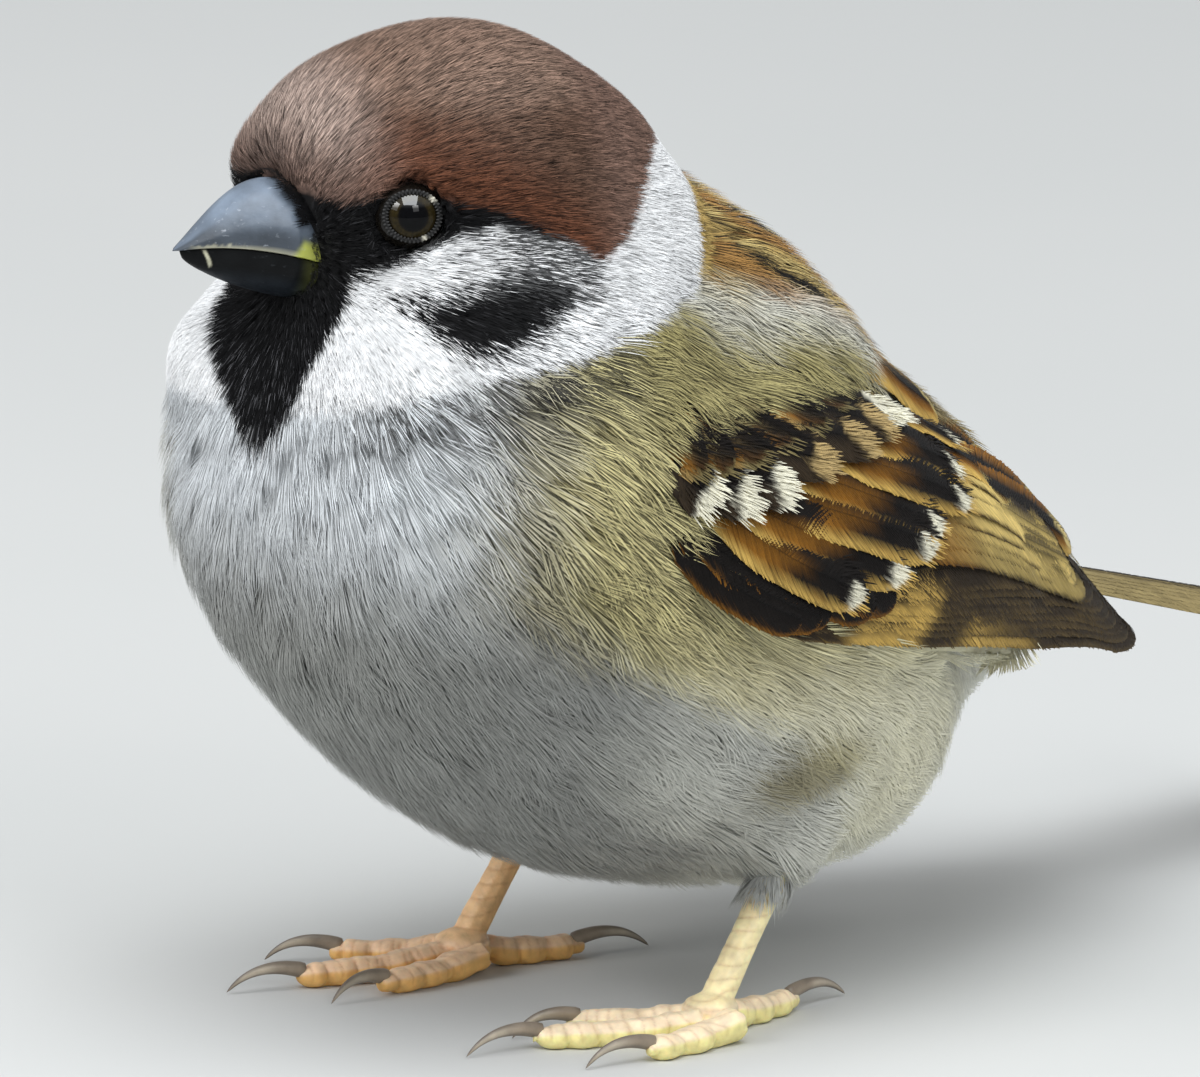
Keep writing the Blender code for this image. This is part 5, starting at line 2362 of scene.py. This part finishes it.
@dataclass
class Leg:
    """The bare leg and foot as one skin over the CAD shapes, with scutes and pads."""

    label: str
    side: int
    toes: tuple = ("hind", "inner", "middle", "outer")
    seed: int = 71
    voxel: float = 0.16
    scute: float = 1.05
    scute_height: float = 0.07
    toe_height: float = 2.6
    pad_pitch: float = 2.3
    pad_height: float = 0.46
    half_gap: float = 0.16
    # how far down the leg the small feathers reach, and how many there are to a square millimetre
    trouser: float = 1.6
    per_square: float = 7.0

    def build(self) -> None:
        """Builds the leg's skin and its claws."""
        bare = [f"tarsus_{self.label}", f"foot_{self.label}"]
        bare += [f"toe_{self.label}_{toe}" for toe in self.toes]
        mesh = remeshed(self.grown(bare), self.voxel * MM, 4)
        points, normals = places_of(mesh), normals_of(mesh)
        up = points[:, 2]
        pad = self.pad()
        on_toe = smooth_step(self.toe_height - up, 0.8)
        reach = np.linalg.norm(points[:, :2] - pad[:2], axis=1)
        along = np.where(on_toe > 0.5, reach, up)
        phase = (along / self.scute + 0.35 * ripple(points, 1.1)) % 1.0
        plate = np.clip(1 - (2 * phase - 1) ** 6, 0, 1)
        upper = smooth_step(normals[:, 2] + 0.15, 0.5)
        shin = smooth_step(-normals[:, 1] + 0.4, 0.6)
        where = np.where(on_toe > 0.5, upper, shin)
        relief = (plate - 0.6) * self.scute_height * where
        soles = smooth_step(-normals[:, 2] + 0.25, 0.5) * on_toe
        bulge = np.abs(np.sin(reach * math.pi / self.pad_pitch)) ** 0.6 - 0.62
        puff = self.pad_height * bulge * smooth_step(0.75 - normals[:, 2], 0.9) * on_toe
        puff = puff * smooth_step(up - 0.10, 0.4)
        moved = points + normals * (relief + puff)[:, None]
        moved[:, 2] = np.maximum(moved[:, 2], 0.0)
        move_to(mesh, moved)
        mesh.shade_smooth()
        paint(mesh, self.colours(points, normals, plate * where, soles, on_toe))
        leg = show(f"leg_{self.label}", mesh, LegFinish(f"leg_skin_{self.label}").material())
        finish_piece(leg, "foot_skin", *bare)
        self.dress_top(Surface.of(mesh))
        self.build_claws()

    def dress_top(self, surface: Surface) -> None:
        """Grows the small feathers that cover the top of the leg.

        Args:
            surface: the leg's skin.
        """
        rng = np.random.default_rng(self.seed + self.side)
        top = surface.points[:, 2].max()
        fans = [Fan.lock(rng, length=3.4, half_width=0.42, barbs=7, barb_width=0.045) for _ in range(5)]
        growth = Growth(
            fans, depth=0.75, root_shade=0.5, rub=0.2, sink=-0.05, gap=0.4, steepness=2.0, stagger=0.15,
        )

        def near_top(points: Array, normals: Array) -> Array:
            """Keeps to the top of the leg."""
            return points[:, 2] > top - self.trouser

        def down(points: Array, normals: Array) -> Array:
            """Down along the leg and a little forward."""
            return flattened(np.tile([0.0, -0.1, -1.0], (len(points), 1)), normals)

        roots, normals = surface.scatter(self.per_square, rng, near_top)
        centre = np.array([roots[:, 0].mean(), roots[:, 1].mean(), top - 2.0])
        coat = Coat(surface, rng, centre, curve=2.5, flow=down)
        size = rng.uniform(0.8, 1.15, len(roots)) * (0.55 + 0.45 * smooth_step(roots[:, 2] - top + 2.2, 3))
        cuff = coat.grow(
            Roots(roots, normals, size, rng.normal(0, 0.15, len(roots))), growth,
            lambda points, chance, flat: plain(Tint.BELLY_AND_SHADE.linear * 1.4, points),
        )
        finish = PlumageFinish(f"thigh_barbs_{self.label}").material()
        finish_piece(cuff.object(f"thigh_feathers_{self.label}", finish), "body_plumage")

    def grown(self, nodes: list[str]) -> Mesh:
        """A joined copy, let out by half the clearance so that the parts run together.

        Args:
            nodes: the CAD nodes.

        Returns:
            The mesh.
        """
        mesh = joined_copy(nodes)
        points, normals = places_of(mesh), normals_of(mesh)
        grown = points + normals * self.half_gap
        grown[:, 2] = np.maximum(grown[:, 2], 0.0)
        move_to(mesh, grown)
        return mesh

    def colours(self, points: Array, normals: Array, plate: Array, soles: Array, on_toe: Array) -> Array:
        """Pinkish straw with yellow soles, darker between the scutes; the right foot is warmer.

        Args:
            points: places on the leg.
            normals: outward there.
            plate: share of a scute at each place.
            soles: share of the soles.
            on_toe: share of the toes.

        Returns:
            The colours.
        """
        straw = np.array([0.92, 0.79, 0.52]) if self.side > 0 else np.array([0.84, 0.52, 0.26])
        pink = np.array([0.90, 0.68, 0.50])
        yellow = np.array([0.92, 0.82, 0.36]) if self.side > 0 else np.array([0.86, 0.50, 0.16])
        colour = mix(plain(straw, points), pink, 0.5 * smooth_step(normals[:, 2] - 0.3, 0.8))
        colour = mix(colour, yellow, np.maximum(soles, 0.4 * (1 - on_toe)))
        gaps = (1 - plate) * smooth_step(normals[:, 2] + 0.1, 0.6)
        return mix(colour, colour * np.array([0.58, 0.45, 0.38]), 0.5 * gaps)

    def build_claws(self) -> None:
        """Builds curved claws from the toes' ends to the tips of the CAD claws, as one piece."""
        whole, places, colours = bmesh.new(), [], []
        pad = self.pad()
        names = [f"claw_{self.label}_{toe}" for toe in self.toes]
        for name in names:
            points = places_of(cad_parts[name].data)
            reach = np.linalg.norm((points - pad)[:, :2], axis=1)
            tip, root = points[reach.argmax()].copy(), points[reach < reach.min() + 0.9].mean(axis=0)
            ahead = unit((tip - root) * (1, 1, 0))
            root = root - ahead * 1.5
            root[2] = min(root[2], 1.25)
            tip[2] = 0.12
            shape, share, angle = closed_tube(20, 22)
            bend = (root + tip) / 2 + ahead * 0.9 + np.array([0, 0, 1.9])
            centre, heading = arc_through(root, bend, tip, share[:, None])
            side = np.cross([0, 0, 1.0], ahead)
            over = np.cross(heading, side)
            radius = (0.60 * (1 - share) ** 0.8 + 0.05) * np.sqrt(np.clip(np.sin(share * math.pi) * 6, 0, 1))
            ring = side * (np.cos(angle) * 0.78)[:, None] + over * np.sin(angle)[:, None]
            places.append(centre + ring * radius[:, None])
            colours.append(self.claw_colours(share, np.sin(angle)))
            mesh = bpy.data.meshes.new("claw")
            shape.to_mesh(mesh)
            shape.free()
            whole.from_mesh(mesh)
        finish = HornFinish(
            f"claw_horn_{self.label}", roughness=0.3, scuff=(0.35, 0.30, 0.24, 1), scuff_share=0.25,
        )
        places, colours = np.concatenate(places), np.concatenate(colours)
        claws = mesh_object(f"claws_{self.label}", whole, places, colours, finish.material())
        finish_piece(claws, "claw", *names)

    @staticmethod
    def claw_colours(share: Array, over: Array) -> Array:
        """Brown-grey horn, darker along its top and underside, most towards the tip, and paler on its sides
        part of the way along.

        Args:
            share: how far along the claw each point is.
            over: how high up round it, from -1 to 1.

        Returns:
            The colours.
        """
        horn, pale = np.array([0.31, 0.25, 0.185]), np.array([0.58, 0.51, 0.40])
        ridge = np.array([0.13, 0.107, 0.088])
        dark = smooth_step(np.abs(over) - 0.45, 0.7) * (0.4 + 0.6 * share)
        light = 0.55 * smooth_step(0.25 - np.abs(share - 0.62), 0.3) * smooth_step(0.6 - np.abs(over), 0.6)
        return mix(mix(plain(horn, share), ridge, dark), pale, light)

    def pad(self) -> Array:
        """The middle of the foot."""
        return sum(BIRD.from_row(np.array(corner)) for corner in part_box(f"foot_{self.label}")) / 2


# ---------------------------------------------------------------- studio


@dataclass
class Studio:
    """Pale floor, soft light and a camera level with the bird's shoulder."""

    azimuth: float = math.radians(43.0)
    elevation: float = math.radians(13.0)
    distance: float = 2.5
    picture_width: float = 1200 / 13.3 * MM
    target: tuple = (-4.78, 6.23, 33.88)
    sensor: float = 36.0
    sky: tuple = (0.93, 0.96, 1.0, 1)
    sky_strength: float = 0.38
    floor_size: float = 6.0
    floor_gap: float = 0.00002
    # name, place in metres, side in metres, power in watts, colour
    lamps: tuple = (
        ("top", (0.24, -0.26, 1.02), 0.9, 12.0, (0.95, 0.98, 1.0)),
        ("front", (-0.4, -1.1, 0.75), 0.6, 7.0, (1, 1, 1)),
        ("side", (1.0, -0.4, 0.75), 0.5, 4.0, (1, 1, 1)),
    )

    def add_camera(self) -> None:
        """Places the camera."""
        level = math.cos(self.elevation)
        ground = Vector((math.sin(self.azimuth), -math.cos(self.azimuth), 0.0)) * level
        back = ground + Vector((0, 0, math.sin(self.elevation)))
        data = bpy.data.cameras.new("camera")
        data.sensor_width = self.sensor
        data.lens = self.sensor * self.distance / self.picture_width
        data.clip_start = 0.05
        camera = bpy.data.objects.new("camera", data)
        bpy.context.scene.collection.objects.link(camera)
        camera.location = Vector(BIRD.to_row(np.array(self.target))) + back * self.distance
        camera.rotation_euler = (-back).to_track_quat("-Z", "Y").to_euler()
        bpy.context.scene.camera = camera

    @staticmethod
    def add_light(name: str, place: tuple, size: float, power: float, colour: tuple) -> None:
        """Adds a square soft light that looks at the bird.

        Args:
            name: the lamp's name.
            place: where it hangs, in metres.
            size: the length of its side.
            power: in watts.
            colour: of its light.
        """
        data = bpy.data.lights.new(name, "AREA")
        data.size = size
        data.energy = power
        data.color = colour
        lamp = bpy.data.objects.new(name, data)
        bpy.context.scene.collection.objects.link(lamp)
        lamp.location = Vector(place)
        lamp.rotation_euler = (Vector((0, 0, 0.04)) - lamp.location).to_track_quat("-Z", "Y").to_euler()

    def add_floor(self) -> None:
        """Lays the floor just under the soles, as a sheet that is far wider than the view."""
        sheet = bmesh.new()
        bmesh.ops.create_grid(sheet, x_segments=2, y_segments=2, size=self.floor_size)
        bmesh.ops.translate(sheet, vec=(0, 0, -self.floor_gap), verts=sheet.verts)
        mesh = bpy.data.meshes.new("floor")
        sheet.to_mesh(mesh)
        sheet.free()
        show("floor", mesh, FloorFinish().material())

    def build(self) -> None:
        """Sets up the whole studio."""
        bpy.context.scene.view_settings.view_transform = "Standard"
        self.add_camera()
        self.add_floor()
        world = bpy.data.worlds.new("studio")
        bpy.context.scene.world = world
        world.use_nodes = True
        sky = world.node_tree.nodes["Background"]
        sky.inputs["Color"].default_value = self.sky
        sky.inputs["Strength"].default_value = self.sky_strength
        for lamp in self.lamps:
            self.add_light(*lamp)


def main() -> None:
    """Builds the studio and then the bird, piece by piece."""
    logging.basicConfig(level=logging.INFO, format="%(message)s")
    Studio().build()
    body = Body()
    body.build()
    HeadCoat(body).dress()
    BodyCoat(body).dress()
    vanes = VaneFinish("vane").material()
    for label, side in (("left", 1), ("right", -1)):
        Wing(label, side, body.outline).build(vanes)
        Eye(label, side).build()
        Leg(label, side).build()
    Tail().build(vanes)
    Bill().build()


if __name__ == "__main__":
    main()
